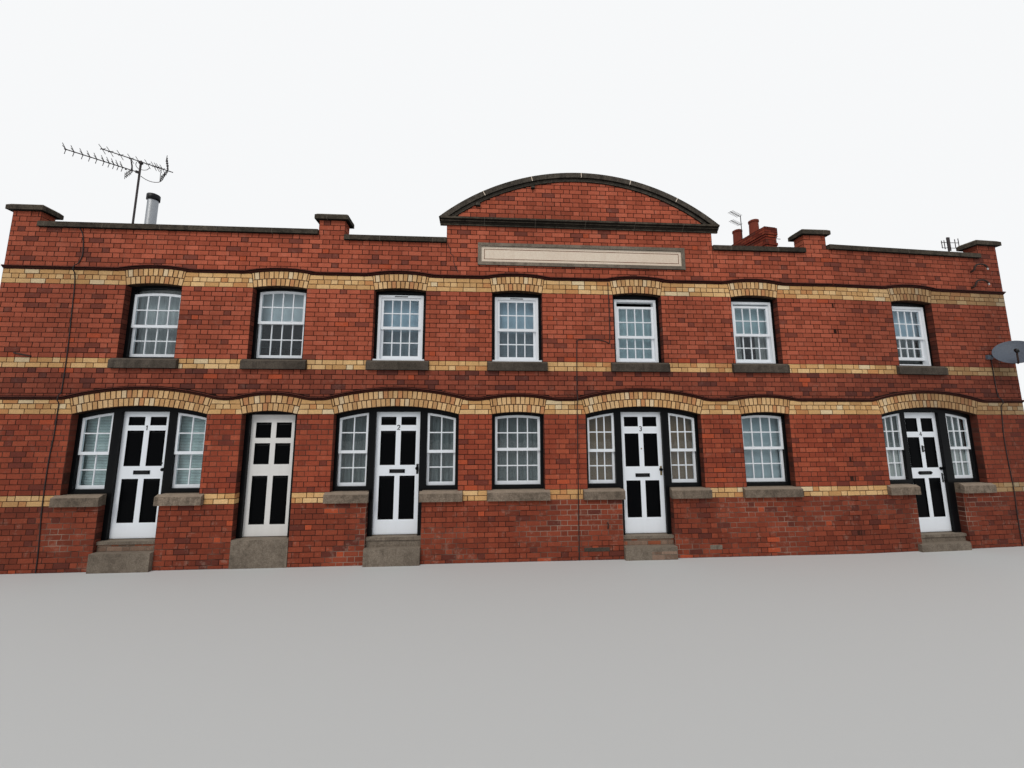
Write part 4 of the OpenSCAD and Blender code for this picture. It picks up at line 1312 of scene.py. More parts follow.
@dataclass(frozen=True)
class BrickSizes:
    """Sizes of the bricks and their joints."""

    stretcher: float = 0.219
    header: float = 0.104
    joint: float = 0.01
    least: float = 0.045
    samples: int = 25
    least_tall: float = 0.012
    least_long: float = 0.02

    @property
    def pair(self) -> float:
        """A stretcher and a header with their joints."""
        return self.stretcher + self.header + 2 * self.joint

    def edges(self, bond: Bond, odd: bool, low: float, high: float) -> Array:
        """Middles of the upright joints of a course.

        Args:
            bond: How the bricks follow each other.
            odd: Whether the course is moved along by half a pattern.
            low: Start of the course.
            high: End of the course.

        Returns:
            The places of the joints that lie within.
        """
        long, short = self.stretcher + self.joint, self.header + self.joint
        if bond is Bond.FLEMISH:
            step, within = self.pair, (0.0, long)
        elif bond is Bond.STRETCHERS:
            step, within = long, (0.0,)
        else:
            step, within = short, (0.0,)
        start = step / 2 if odd else 0.0
        first = math.floor((low - start) / step)
        count = math.ceil((high - low) / step) + 2
        base = start + (first + np.arange(count)) * step
        places = np.sort((base[:, None] + np.array(within)).ravel())
        return places[(places > low) & (places < high)]


BRICK = BrickSizes()


@dataclass(frozen=True)
class Reach:
    """A stretch of a course, from one side to the other, at its foot and at its head."""

    left_foot: float
    right_foot: float
    left_head: float
    right_head: float


@dataclass
class Brickwork:
    """Gathers the bricks of one wall, course by course, cut to the wall's outline."""

    columns: int = 1
    rows: list[Array] = field(default_factory=list)

    def course(self, reaches: Sequence[Reach], z0: float, z1: float, bond: Bond, odd: bool) -> None:
        """Lays one course along each reach; a cut brick is never shorter than the least length.

        Args:
            reaches: The stretches that the course fills.
            z0: Foot of the course.
            z1: Head of the course.
            bond: How its bricks follow each other.
            odd: Whether it is moved along by half a pattern.
        """
        for r in reaches:
            low, high = max(r.left_foot, r.left_head), min(r.right_foot, r.right_head)
            if max(r.right_foot - r.left_foot, r.right_head - r.left_head) < BRICK.least:
                continue
            inner = BRICK.edges(bond, odd, low + BRICK.least, high - BRICK.least)
            foot = np.concatenate(([r.left_foot], inner, [r.right_foot]))
            head = np.concatenate(([r.left_head], inner, [r.right_head]))
            half = BRICK.joint / 2
            sides = (foot[:-1] + half, foot[1:] - half, head[:-1] + half, head[1:] - half)
            beds = (np.full(len(foot) - 1, z) for z in (z0 + half, z1 - half))
            self.rows.append(np.stack((*sides, *beds), 1))

    def lay(self, reaches: Sequence[Reach], heights: Points, bond: Bond = Bond.FLEMISH) -> None:
        """Lays courses one after the other, the first and each second one moved along."""
        for k, (z0, z1) in enumerate(heights):
            self.course(reaches, z0, z1, bond, k % 2 == 0)

    def tiles(self, floor: Line | None = None, ceiling: Line | None = None, seed: int = 1) -> Tiles:
        """Cuts the bricks to a lower and an upper line.

        Each brick is sampled along its length; what keeps some height is its new extent.

        Args:
            floor: Height of the lower line at a place, or None.
            ceiling: Height of the upper line at a place, or None.
            seed: Seed of the random tints.

        Returns:
            The bricks.
        """
        rows = np.concatenate(self.rows)
        t = np.linspace(0, 1, BRICK.samples)
        start, end, foot, head = self._cut(rows, t, floor, ceiling)
        tall = head[..., 1] - foot[..., 1] > BRICK.least_tall
        keep = tall.any(1)
        first = t[np.argmax(tall, 1)]
        last = t[len(t) - 1 - np.argmax(tall[:, ::-1], 1)]
        long = (last - first) * (rows[:, 1] - rows[:, 0])
        keep &= long > BRICK.least_long
        rows, first, last = rows[keep], first[keep], last[keep]
        u = first[:, None] + (last - first)[:, None] * np.linspace(0, 1, self.columns + 1)
        _, _, foot, head = self._cut(rows, u, floor, ceiling)
        return Tiles(foot, head, seed=seed)

    @staticmethod
    def _cut(rows: Array, u: Array, floor: Line | None, ceiling: Line | None) -> tuple[Array, ...]:
        """Foot and head points of bricks at shares of their length.

        Args:
            rows: The bricks as left and right at the foot, at the head, and two heights.
            u: Shares of the length.
            floor: The lower line or None.
            ceiling: The upper line or None.

        Returns:
            The two heights, the foot points and the head points.
        """
        u = np.broadcast_to(u, (len(rows), u.shape[-1]))
        xf = rows[:, 0:1] + (rows[:, 1:2] - rows[:, 0:1]) * u
        xh = rows[:, 2:3] + (rows[:, 3:4] - rows[:, 2:3]) * u
        z0, z1 = rows[:, 4:5], rows[:, 5:6]
        half = BRICK.joint / 2
        low = np.broadcast_to(z0, xf.shape)
        high = np.broadcast_to(z1, xf.shape)
        if floor is not None:
            low = np.maximum(low, floor(xf) + half)
        if ceiling is not None:
            high = np.minimum(high, ceiling(xh) - half)
        span = z1 - z0
        xl = xf + (xh - xf) * (low - z0) / span
        xt = xf + (xh - xf) * (high - z0) / span
        return low, high, np.stack((xl, low), -1), np.stack((xt, high), -1)


def between(openings: Points, low: float, high: float) -> list[Reach]:
    """The stretches of a wall between gaps.

    Args:
        openings: Left and right side of each gap.
        low: Start of the wall.
        high: End of the wall.

    Returns:
        The stretches, upright at both sides.
    """
    reaches, at = [], low
    for left, right in sorted(openings):
        if left > at and left < high:
            reaches.append(Reach(at, left, at, left))
        at = max(at, right)
    if at < high:
        reaches.append(Reach(at, high, at, high))
    return reaches


def courses(z0: float, z1: float) -> list[tuple[float, float]]:
    """Even courses between two heights."""
    lines = np.linspace(z0, z1, max(1, round((z1 - z0) / ROW.course)) + 1)
    return list(zip(lines[:-1], lines[1:]))


def courses_down(top: float, count: int) -> list[tuple[float, float]]:
    """Courses of full height from a line downwards, the last one cut at the ground."""
    heads = top - np.arange(count) * ROW.course
    return [(max(head - ROW.course, 0.0), head) for head in heads]


@dataclass(frozen=True)
class StreetBrickwork:
    """All the brickwork of the street front."""

    arch_header: float = 0.0765
    clear: float = 0.004
    columns: int = 3

    def front(self, u: Array, v: Array, depth: Array) -> Array:
        """Places on the face of the front."""
        return FrontWall.place(u, depth, v)

    def finish(self, name: str, tiles: Tiles, look: Looks) -> None:
        """Makes a piece of bricks on the face."""
        slot = look.value.name if look in (Looks.YELLOW, Looks.PARAPET) else "red_brick"
        make_piece(name, tiles.surface(self.front), look, slot)

    def plinth(self) -> None:
        """Red brick under the lower sills, parted at the doors."""
        gaps = [*ROW.recesses, PASSAGE.sides()]
        work = Brickwork()
        work.lay(between(gaps, ROW.left, ROW.right), courses_down(ROW.low_band, 12))
        self.finish("plinth_bricks", work.tiles(seed=11), Looks.PLINTH)

    def bands(self) -> None:
        """The two straight bands of yellow bricks, each two courses high."""
        low = [o.sides(ROW.sill_over) for o in (*ENTRANCES, *LOW_WINDOWS)] + [PASSAGE.sides()]
        high = [o.sides(ROW.sill_over) for o in UPPER.openings]
        work = Brickwork()
        for gaps, base in ((low, ROW.low_band), (high, ROW.mid_band)):
            for k in range(2):
                z0, reaches = base + k * ROW.course, between(gaps, ROW.left, ROW.right)
                work.course(reaches, z0, z0 + ROW.course, Bond.FLEMISH, k == 1)
        self.finish("band_bricks", work.tiles(seed=12), Looks.YELLOW)

    def piers(self, name: str, storey: Storey, sill: float, seed: int, look: Looks) -> None:
        """Red brick between the openings of a storey.

        Args:
            name: Name of the piece.
            storey: The storey.
            sill: Height of its sills.
            seed: Seed of the tints.
            look: Its finish.
        """
        gaps = [o.sides() for o in storey.openings]
        work = Brickwork()
        work.lay(between(gaps, ROW.left, ROW.right), courses(sill, storey.spring))
        self.finish(name, work.tiles(seed=seed), look)

    def arch_band(self, name: str, storey: Storey, seed: int) -> None:
        """Yellow bricks from the springing up to the wavy line, between the skewbacks.

        Args:
            name: Name of the piece.
            storey: The storey.
            seed: Seed of the tints.
        """
        work = Brickwork(columns=self.columns)
        for k in range(5):
            z0 = storey.spring + k * ROW.course
            z1 = z0 + ROW.course
            if z0 > storey.flat + 0.12:
                continue
            sides = [(o, side) for o in storey.openings for side in (-1, 1)]
            skews = [(storey.skew(o, side, z0), storey.skew(o, side, z1)) for o, side in sides]
            marks = [(ROW.left, ROW.left), *skews, (ROW.right, ROW.right)]
            pairs = zip(marks[::2], marks[1::2])
            reaches = [Reach(lf, rf, lh, rh) for (lf, lh), (rf, rh) in pairs]
            work.course(reaches, z0, z1, Bond.HEADERS if k % 2 else Bond.STRETCHERS, k == 2)
        self.finish(name, work.tiles(ceiling=storey.wavy, seed=seed), Looks.YELLOW)

    def arches(self, name: str, storey: Storey, seed: int) -> None:
        """Two rings of headers over each opening, and their undersides in dark bricks of painted
        shade.

        A header is bounded by two radii and two circles; the second ring is set over by half
        a header.

        Args:
            name: Name of the piece.
            storey: The storey.
            seed: Seed of the tints.
        """
        rings, undersides, deep = [], [], (ROW.reveal - self.clear, self.clear)
        for o in storey.openings:
            half = math.asin(o.width / 2 / o.arc)
            count = max(5, round(o.width / self.arch_header))
            step = 2 * half / count
            centre = storey.centre(o)
            for ring in range(2):
                r0 = o.arc + ring * storey.ring / 2
                r1 = r0 + storey.ring / 2
                marks = -half + step * np.arange(count + 1)
                if ring:
                    marks = np.concatenate(([-half], marks[:-1] + step / 2, [half]))
                gap = 0.7 * BRICK.joint / r0
                a0, a1 = marks[:-1] + gap, marks[1:] - gap
                angles = np.stack((a0, (a0 + a1) / 2, a1), 1)
                ends = [
                    np.stack((o.x + r * np.sin(angles), centre + r * np.cos(angles)), -1)
                    for r in (r0 + 0.6 * BRICK.joint, r1 - 0.7 * BRICK.joint)
                ]
                rings.append(Tiles(*ends, seed=seed + ring).surface(self.front))
                if ring:
                    continue
                near, far = (np.stack((angles, np.full(angles.shape, d)), -1) for d in deep)

                def under(u: Array, v: Array, depth: Array, o: Opening = o) -> Array:
                    """Places on the underside of the arch, from an angle and a depth."""
                    r = o.arc + depth
                    return FrontWall.place(o.x + r * np.sin(u), v, storey.centre(o) + r * np.cos(u))

                tiles = Tiles(near, far, proud=0.002, bevel=0.002, seed=seed + 7, jitter=0.0)
                undersides.append(tiles.surface(under))
        make_piece(name, joined(rings), Looks.ARCH, "arch_brick")
        # The undersides get the dark bricks of painted shade.
        make_piece(f"{name}_soffits", joined(undersides), Looks.SHADED_SOFFIT, "arch_brick")

    def over_string(self) -> None:
        """Red brick between the lower string and the upper sills."""
        work = Brickwork(columns=self.columns)
        work.lay(between((), ROW.left, ROW.right), courses_down(ROW.mid_band, 7))
        tiles = work.tiles(floor=lambda x: LOWER.wavy(x, ROW.string), seed=16)
        self.finish("middle_bricks", tiles, Looks.MIDDLE)

    def parapet(self) -> None:
        """Brick from the upper string to the copings and pier caps."""
        half, (left, right) = ROW.pier_w / 2, ROW.pediment_sides
        p = ROW.pier_x
        base = UPPER.flat + ROW.string
        step = (ROW.inner_coping - base) / 7
        tops = [
            (p[0] - half, p[0] + half, ROW.cap),
            (p[0] + half, p[1] - half, ROW.wing_coping),
            (p[1] - half, p[1] + half, ROW.cap),
            (p[1] + half, left, ROW.inner_coping),
            (left, right, base + 2 * step),
            (right, p[2] - half, ROW.inner_coping),
            (p[2] - half, p[2] + half, ROW.cap),
            (p[2] + half, p[3] - half, ROW.wing_coping),
            (p[3] - half, p[3] + half, ROW.cap),
        ]
        work, rise = Brickwork(columns=self.columns), ROW.cap - ROW.wing_coping
        heights = [(base + k * step, step) for k in range(8)]
        heights += [(ROW.wing_coping + k * rise / 3, rise / 3) for k in range(3)]
        for k, (z0, tall) in enumerate(heights):
            gaps = [(a, b) for a, b, top in tops if top < z0 + tall - 0.03]
            reaches = between(gaps, ROW.left, ROW.right)
            work.course(reaches, z0, min(z0 + tall, ROW.cap), Bond.FLEMISH, k % 2 == 0)
        tiles = work.tiles(
            floor=lambda x: UPPER.wavy(x, ROW.string),
            ceiling=lambda x: self.top_line(x, tops),
            seed=17,
        )
        self.finish("parapet_bricks", tiles, Looks.PARAPET)
        self.pediment(base, step)
        self.back_face(tops)

    @staticmethod
    def top_line(x: Array, tops: Sequence[tuple[float, float, float]]) -> Array:
        """Height of the top of the parapet wall.

        Args:
            x: Places along the front.
            tops: Left, right and top of each part.

        Returns:
            The heights.
        """
        z = np.full(x.shape, ROW.inner_coping)
        for a, b, top in tops:
            z = np.where((x >= a) & (x <= b), top, z)
        return z

    def pediment(self, base: float, step: float) -> None:
        """Brick of the raised middle, up to the curved coping.

        Args:
            base: Foot of the first course of the parapet.
            step: Height of a course.
        """
        work = Brickwork(columns=self.columns)
        feet = base + np.arange(2, 24) * step
        work.lay(between((), *ROW.pediment_sides), [(foot, foot + step) for foot in feet])
        tiles = work.tiles(ceiling=ROW.pediment_line, seed=18)
        self.finish("pediment_bricks", tiles, Looks.PARAPET)

    def reveals(self) -> None:
        """Header ends on the sides of the openings, in front of the frames; the red ones are darker
        as painted shade.
        """
        surfaces = []
        passage = PASSAGE.sides()
        low_gaps = dict(zip(ENTRANCES, ROW.recesses)) | {PASSAGE: passage}
        for storey, sill in ((LOWER, ROW.low_sill), (UPPER, ROW.up_sill)):
            for o in storey.openings:
                lines = [(z0, z1, *o.sides()) for z0, z1 in courses(sill, storey.spring)]
                if o in low_gaps:
                    tops = np.arange(ROW.low_band, 0.05, -ROW.course)
                    lines += [(max(t - ROW.course, 0), t, *low_gaps[o]) for t in tops]
                surfaces += [self.jamb(np.array(lines), side) for side in (-1, 1)]
        # The red reveals take the darker bricks of painted shade.
        make_piece("reveal_bricks", joined(surfaces), Looks.SHADED_REVEAL, "red_brick")
        mid = ROW.low_band + ROW.course
        rows = np.array([(ROW.low_band, mid, *passage), (mid, ROW.low_sill, *passage)])
        made = joined([self.jamb(rows, -1), self.jamb(rows, 1)])
        make_piece("reveal_band_bricks", made, Looks.YELLOW, "yellow_brick")

    @staticmethod
    def jamb(rows: Array, side: int, depth1: float = ROW.reveal - 0.002) -> Surface:
        """Bricks on one side of an opening, or on the outer side of a pier beside it.

        Args:
            rows: Foot, head, left and right side of each course.
            side: -1 for the left side, 1 for the right one.
            depth1: Depth of their inner edge.

        Returns:
            The surface.
        """
        half, edge, n = BRICK.joint / 2, rows[:, 2 if side < 0 else 3], len(rows)
        z0, z1 = rows[:, 0] + half, rows[:, 1] - half
        depth0 = 0.004
        ends = np.array((depth0, depth1) if side < 0 else (-depth1, -depth0))
        u = np.broadcast_to(ends, (n, 2))
        foot = np.stack((u, np.broadcast_to(z0[:, None], (n, 2))), -1)
        head = np.stack((u, np.broadcast_to(z1[:, None], (n, 2))), -1)

        def place(u: Array, v: Array, depth: Array) -> Array:
            """Places on the side, from a depth inwards and a height."""
            at = edge.reshape((n,) + (1,) * (u.ndim - 1))
            return FrontWall.place(at + side * depth, np.abs(u), v)

        tiles = Tiles(foot, head, proud=0.002, bevel=0.002, seed=31 + side, jitter=0.0)
        return tiles.surface(place)

    def ends(self) -> None:
        """Bricks on the sides of the piers, the raised middle and both ends of the front."""
        half, (left, right) = ROW.pier_w / 2, ROW.pediment_sides
        sides, low = [(ROW.left, 0.0, ROW.cap, 1), (ROW.right, 0.0, ROW.cap, -1)], ROW.inner_coping
        sides += [(left, low, ROW.cornice, 1), (right, low, ROW.cornice, -1)]
        for k, x in enumerate(ROW.pier_x):
            sides += [(x - half, low, ROW.cap, 1)] if k else []
            sides += [(x + half, low, ROW.cap, -1)] if k < 3 else []
        surfaces = []
        for x, low, high, side in sides:
            rows = np.array([(z0, z1, x, x) for z0, z1 in courses(low, high)])
            surfaces.append(self.jamb(rows, side, ROW.wall - self.clear))
        make_piece("end_bricks", joined(surfaces), Looks.PARAPET, "parapet_brick")

    def back_face(self, tops: Sequence[tuple[float, float, float]]) -> None:
        """Bricks on the back of the parapet and of the raised middle.

        Args:
            tops: Left, right and top of each part of the parapet.
        """
        work, inside = Brickwork(columns=self.columns), ROW.wall + self.clear

        def ceiling(u: Array) -> Array:
            """Height of the top of the wall, seen from behind."""
            raised = np.abs(-u - ROW.pediment_x) < ROW.pediment_w / 2 - 0.01
            return np.where(raised, ROW.pediment_line(-u), self.top_line(-u, tops))

        top = ROW.pediment_z + ROW.pediment_r + 0.016
        reaches = between((), -ROW.right + inside, -ROW.left - inside)
        work.lay(reaches, courses(ROW.eaves_z + ROW.slab, top))
        tiles = work.tiles(ceiling=ceiling, seed=19)

        def place(u: Array, v: Array, depth: Array) -> Array:
            """Places on the back of the wall, seen from behind."""
            return FrontWall.place(-u, ROW.wall - depth, v)

        make_piece("parapet_back_bricks", tiles.surface(place), Looks.PARAPET, "parapet_brick")

    def risers(self) -> None:
        """Bricks in the riser of two entrances and in the lower step of the third."""
        first, third = ROW.recesses[0], ROW.recesses[2]
        parts = [(*first, 0.276, 0.38, 0.06), (*third, 0.205, 0.31, 0.06)]
        parts.append((third[0] + 0.44, third[1] - 0.006, 0.0, 0.135, -0.07))
        surfaces = []
        for k, (left, right, low, high, at) in enumerate(parts):
            work = Brickwork()
            middle = low + 0.083 if high - low > 0.11 else low + 0.07
            work.lay(between((), left, right), ((low, middle), (middle, high)))

            def place(u: Array, v: Array, depth: Array, at: float = at) -> Array:
                """Places on the face of the step."""
                return FrontWall.place(u, at + depth, v)

            surfaces.append(work.tiles(seed=23 + k).surface(place))
        make_piece("riser_bricks", joined(surfaces), Looks.RISER, "red_brick")

    def build(self) -> None:
        """Builds all of it."""
        self.plinth()
        self.bands()
        self.piers("ground_bricks", LOWER, ROW.low_sill, 13, Looks.GROUND)
        self.piers("upper_bricks", UPPER, ROW.up_sill, 14, Looks.UPPER)
        self.arch_band("lower_band_bricks", LOWER, 21)
        self.arch_band("upper_band_bricks", UPPER, 22)
        self.arches("lower_arch_bricks", LOWER, 41)
        self.arches("upper_arch_bricks", UPPER, 43)
        self.over_string()
        self.parapet()
        self.reveals()
        self.ends()
        self.risers()


# Windows


@dataclass(frozen=True)
class Light:
    """The panes of one sash: their extent, the face of the sash and the bars across."""

    left: float
    right: float
    foot: float
    head: float
    depth: float
    cols: int
    rows: int


@dataclass(frozen=True)
class WindowSizes:
    """Sizes of the sashes, shared with the CAD model."""

    upper_mid: tuple[float, ...] = (3.864, 3.957, 3.893, 3.886, 3.785, 3.854, 3.865)
    upper_drop: tuple[float, ...] = (0.083, 0, 0, 0, 0.08, 0.028, 0)
    upper_lift: tuple[float, ...] = (0, 0, 0, 0, 0, 0, 0.088)
    low_mid: float = 1.793
    side_mid: float = 1.765
    sash_t: float = 0.036
    second: float = 0.038
    meeting: float = 0.048
    white: float = 0.044
    stile: float = 0.042
    upper_front: float = 0.128
    lower_front: float = 0.132
    bar: float = 0.02


@dataclass(frozen=True)
class Cloth:
    """A curtain: finish, centre, sides from there, foot, head, folds, their depth, its place."""

    look: Looks
    x: float
    left: float
    right: float
    foot: float
    head: float
    folds: int
    deep: float
    behind: float = 0.272


@dataclass(frozen=True)
class Windows:
    """Glazing bars, cill boards, catches and what hangs behind the glass."""

    sizes: WindowSizes = WindowSizes()

    def bars(self, light: Light) -> Ends:
        """The glazing bars of one sash.

        Args:
            light: The panes.

        Returns:
            Lowest and highest corners of the bars.
        """
        s = self.sizes
        half, front, back = s.bar / 2, light.depth + 0.006, light.depth + s.sash_t - 0.006
        low, high = [], []
        for k in range(1, light.cols):
            x = light.left + (light.right - light.left) * k / light.cols
            low.append([x - half, front, light.foot - 0.004])
            high.append([x + half, back, light.head + 0.004])
        for k in range(1, light.rows):
            z = light.foot + (light.head - light.foot) * k / light.rows
            low.append([light.left - 0.004, front + 0.001, z - half])
            high.append([light.right + 0.004, back - 0.001, z + half])
        return low, high

    def upper_lights(self, i: int) -> list[Light]:
        """The two sashes of an upper window.

        Args:
            i: Which window.

        Returns:
            Its lights, the upper one first.
        """
        s, o = self.sizes, UPPER.openings[i]
        mid, half = s.upper_mid[i], s.meeting / 2
        inset = ROW.jamb + s.stile
        if i < 2:
            low = ROW.up_sill + 0.04 + s.stile + 0.016
            top = UPPER.spring + o.rise - 0.048 - s.stile
        else:
            inset += s.white
            low = ROW.up_sill + 0.024 + s.white + s.stile + 0.016 - s.white / 2
            top = UPPER.spring - 0.052 - s.white - s.stile
        (left, right), back = o.sides(-inset), s.upper_front + s.second
        return [
            Light(left, right, mid + half, top - s.upper_drop[i], s.upper_front, 4, 2),
            Light(left, right, low + s.upper_lift[i], mid - half, back, 4, 2),
        ]

    def bars_piece(self, name: str, lights: Sequence[Light]) -> None:
        """Makes a piece of glazing bars.

        Args:
            name: Name of the piece.
            lights: The panes.
        """
        low, high = [], []
        for light in lights:
            a, b = self.bars(light)
            low += a
            high += b
        make_piece(name, front_boxes(low, high, 0.003), Looks.WHITE, "white_paint")

    def low_lights(self) -> list[Light]:
        """The sashes of the lower windows and of the lights beside the doors.

        Returns:
            The lights.
        """
        s, found = self.sizes, []
        half, front = s.meeting / 2, s.lower_front
        back = front + s.second
        for o in LOW_WINDOWS:
            left, right = o.sides(-ROW.jamb - s.stile)
            low = ROW.low_sill + 0.07 + s.stile + 0.016
            top = LOWER.spring + o.rise - 0.048 - s.stile - 0.006
            found.append(Light(left, right, s.low_mid + half, top, front, 4, 2))
            found.append(Light(left, right, low, s.low_mid - half, back, 4, 2))
        stile = s.stile - 0.004
        for i, o in enumerate(ENTRANCES):
            cols = 2 if i < 2 else 3
            low = ROW.low_sill + 0.072 + stile + 0.016
            for side in (-1, 1):
                near = ROW.leaf_w / 2 + ROW.mullion + stile
                far = o.width / 2 - ROW.jamb - stile
                a, b = sorted((o.x + side * near, o.x + side * far))
                top = LOWER.centre(o) + math.sqrt((o.arc - 0.072 - stile) ** 2 - near**2)
                found.append(Light(a, b, s.side_mid + half, top, front, cols, 2))
                found.append(Light(a, b, low, s.side_mid - half, back, cols, 2))
        return found

    def cloth(self, name: str, cloth: Cloth, rail: str, seed: int) -> None:
        """A hanging curtain: a sine line of folds that grows deeper towards its foot.

        Args:
            name: Name of the piece.
            cloth: Its place, sizes and finish.
            rail: Name of the rail that it hangs from; not used.
            seed: Seed of the folds.
        """
        rng = np.random.default_rng(seed)
        nu, nv = cloth.folds * 8 + 1, 9
        u, v = np.linspace(0, 1, nu), np.linspace(0, 1, nv)
        phase = rng.random() * math.pi
        wander = 0.35 * np.sin(2 * math.pi * u * 1.7 + phase)
        wave = np.sin(2 * math.pi * cloth.folds * u + wander)
        swing = cloth.deep * (0.7 + 0.3 * (1 - v))[:, None] * wave[None]
        x = cloth.x + cloth.left + (cloth.right - cloth.left) * u[None] + np.zeros((nv, 1))
        z = cloth.foot + (cloth.head - cloth.foot) * v[:, None] + np.zeros((1, nu))
        points = FrontWall.place(x, cloth.behind + swing, z)
        at = np.arange(nv * nu).reshape(nv, nu)
        quads = np.stack((at[:-1, :-1], at[:-1, 1:], at[1:, 1:], at[1:, :-1]), -1).reshape(-1, 4)
        made = Surface(points, [quads], smooth=True)
        piece = make_piece(name, made, cloth.look, "window_glass")
        run = np.linalg.norm(np.diff(points, axis=1), axis=-1).sum(1).mean()
        drop = np.linalg.norm(np.diff(points, axis=0), axis=-1).sum(0).mean()

    def curtains(self) -> None:
        """Rails and curtains behind the glass."""
        top, low, mid, foot, half, x = 4.6, 3.24, 3.86, 3.22, 0.45, UPPER_X
        left, right = (-half, -0.14), (0.14, half)
        hung = {
            "curtain_1": Cloth(Looks.GREY_NET, x[0], -half, half, low, top, 11, 0.009),
            "curtain_2": Cloth(Looks.PALE_BLIND, x[1], -half, half, 3.96, top, 3, 0.002),
            "curtain_3": Cloth(Looks.NET_WITH_SKY_REFLECTION, x[2], -half, half, low, top, 5, 0.003),
            "curtain_4": Cloth(Looks.NET_WITH_SKY_REFLECTION, x[3], -half, half, low, top, 5, 0.003),
            "curtain_5": Cloth(Looks.LACE, x[4], -half, half, low, 4.34, 9, 0.007),
            "curtain_6": Cloth(Looks.LACE, x[5], -half, half, mid, 4.39, 4, 0.003),
            "curtain_6_left": Cloth(Looks.CURTAIN, x[5], *left, foot, 3.85, 5, 0.02),
            "curtain_6_right": Cloth(Looks.CURTAIN, x[5], *right, foot, 3.85, 5, 0.02),
            "curtain_7": Cloth(Looks.NET_WITH_SKY_REFLECTION, x[6], -half, half, 3.87, top, 5, 0.003),
            "curtain_7_low": Cloth(Looks.LOW_FOLDS, x[6], -half, half, foot, mid, 10, 0.016),
            "low_curtain_1": Cloth(Looks.DARK_FOLDS, -0.64, -half, half, 1.1, 2.46, 10, 0.02),
            "low_curtain_2": Cloth(Looks.FLAT_PALE, 3.766, -half, half, 1.1, 2.46, 3, 0.002),
        }
        for i, look, folds, deep in ((1, Looks.DARK_FOLDS, 7, 0.022), (2, Looks.BROWN, 3, 0.002)):
            for word, a, b in (("left", -1.03, -0.47), ("right", 0.42, 1.03)):
                name = f"side_curtain_{i + 1}_{word}"
                hung[name] = Cloth(look, ENTRANCES[i].x, a, b, 1.1, 2.46, folds, deep)
        last = (9, 0.0035, 0.2165)
        for word, a, b in (("left", -1.02, -0.47), ("right", 0.42, 1.02)):
            place = (ENTRANCES[3].x, a, b)
            hung[f"side_curtain_4_{word}"] = Cloth(Looks.PALE_FOLDS, *place, 1.1, 1.76, *last)
            hung[f"side_net_4_{word}"] = Cloth(Looks.DARK_FOLDS, *place, 1.77, 2.4, *last)
        all_ = hung.values()
        ends = [(c.x + c.left - 0.004, c.behind - 0.0035, c.head) for c in all_]
        tops = [(c.x + c.right + 0.004, c.behind + 0.008, c.head + 0.012) for c in all_]
        rails = front_boxes(ends, tops)
        rail = make_piece("curtain_rails", rails, Looks.WHITE, "white_paint").name
        for k, (name, cloth) in enumerate(hung.items()):
            self.cloth(name, cloth, rail, 50 + k)
        self.slats()

    def slats(self) -> None:
        """Level slats behind the lights of the first door."""
        x = ENTRANCES[0].x
        z = np.arange(1.12, 2.46, 0.025)
        low = [(x + a, 0.268, v) for a in (-1.01, 0.47) for v in z]
        high = [(x + b, 0.272, v + 0.021) for b in (-0.47, 1.01) for v in z]
        make_piece("blind_slats", front_boxes(low, high, 0.001), Looks.SLATS, "white_paint")

    def boards(self) -> None:
        """White cill boards and trickle vents of the newer upper windows."""
        newer, sill = UPPER.openings[2:4], ROW.up_sill
        low = [(o.sides(-0.006)[0], 0.03, sill + 0.002) for o in newer]
        high = [(o.sides(-0.006)[1], 0.14, sill + 0.03) for o in newer]
        make_piece("cill_boards", front_boxes(low, high, 0.003), Looks.WHITE, "white_paint")
        low = [(o.x - 0.115, 0.098, 4.449) for o in newer]
        high = [(o.x + 0.115, 0.108, 4.461) for o in newer]
        make_piece("vent_slots", front_boxes(low, high, 0.001), Looks.DARK_METAL, "black_gloss")

    def catches(self) -> None:
        """Small catches on the meeting rails."""
        s = self.sizes
        places = [(o.x, s.upper_mid[i], s.upper_front) for i, o in enumerate(UPPER.openings)]
        places += [(o.x, s.low_mid, s.lower_front) for o in LOW_WINDOWS]
        pairs = [(x + dx, z, front) for x, z, front in places for dx in (-0.16, 0.16)]
        low = [(x - 0.016, front - 0.004, z + 0.012) for x, z, front in pairs]
        high = [(x + 0.016, front + 0.012, z + 0.03) for x, z, front in pairs]
        make_piece("sash_catches", front_boxes(low, high), Looks.WHITE, "white_paint")

    def build(self) -> None:
        """Builds all of it."""
        lights = [light for i in range(7) for light in self.upper_lights(i)]
        self.bars_piece("upper_bars", lights)
        self.bars_piece("lower_bars", self.low_lights())
        self.boards()
        self.catches()
        self.curtains()


# Doors


@dataclass(frozen=True)
class DoorSpec:
    """One door: its body, its centre, its foot, its width and its panel rows."""

    body: str
    x: float
    foot: float
    width: float
    rows: tuple[tuple[float, float], ...]
    number: str = ""


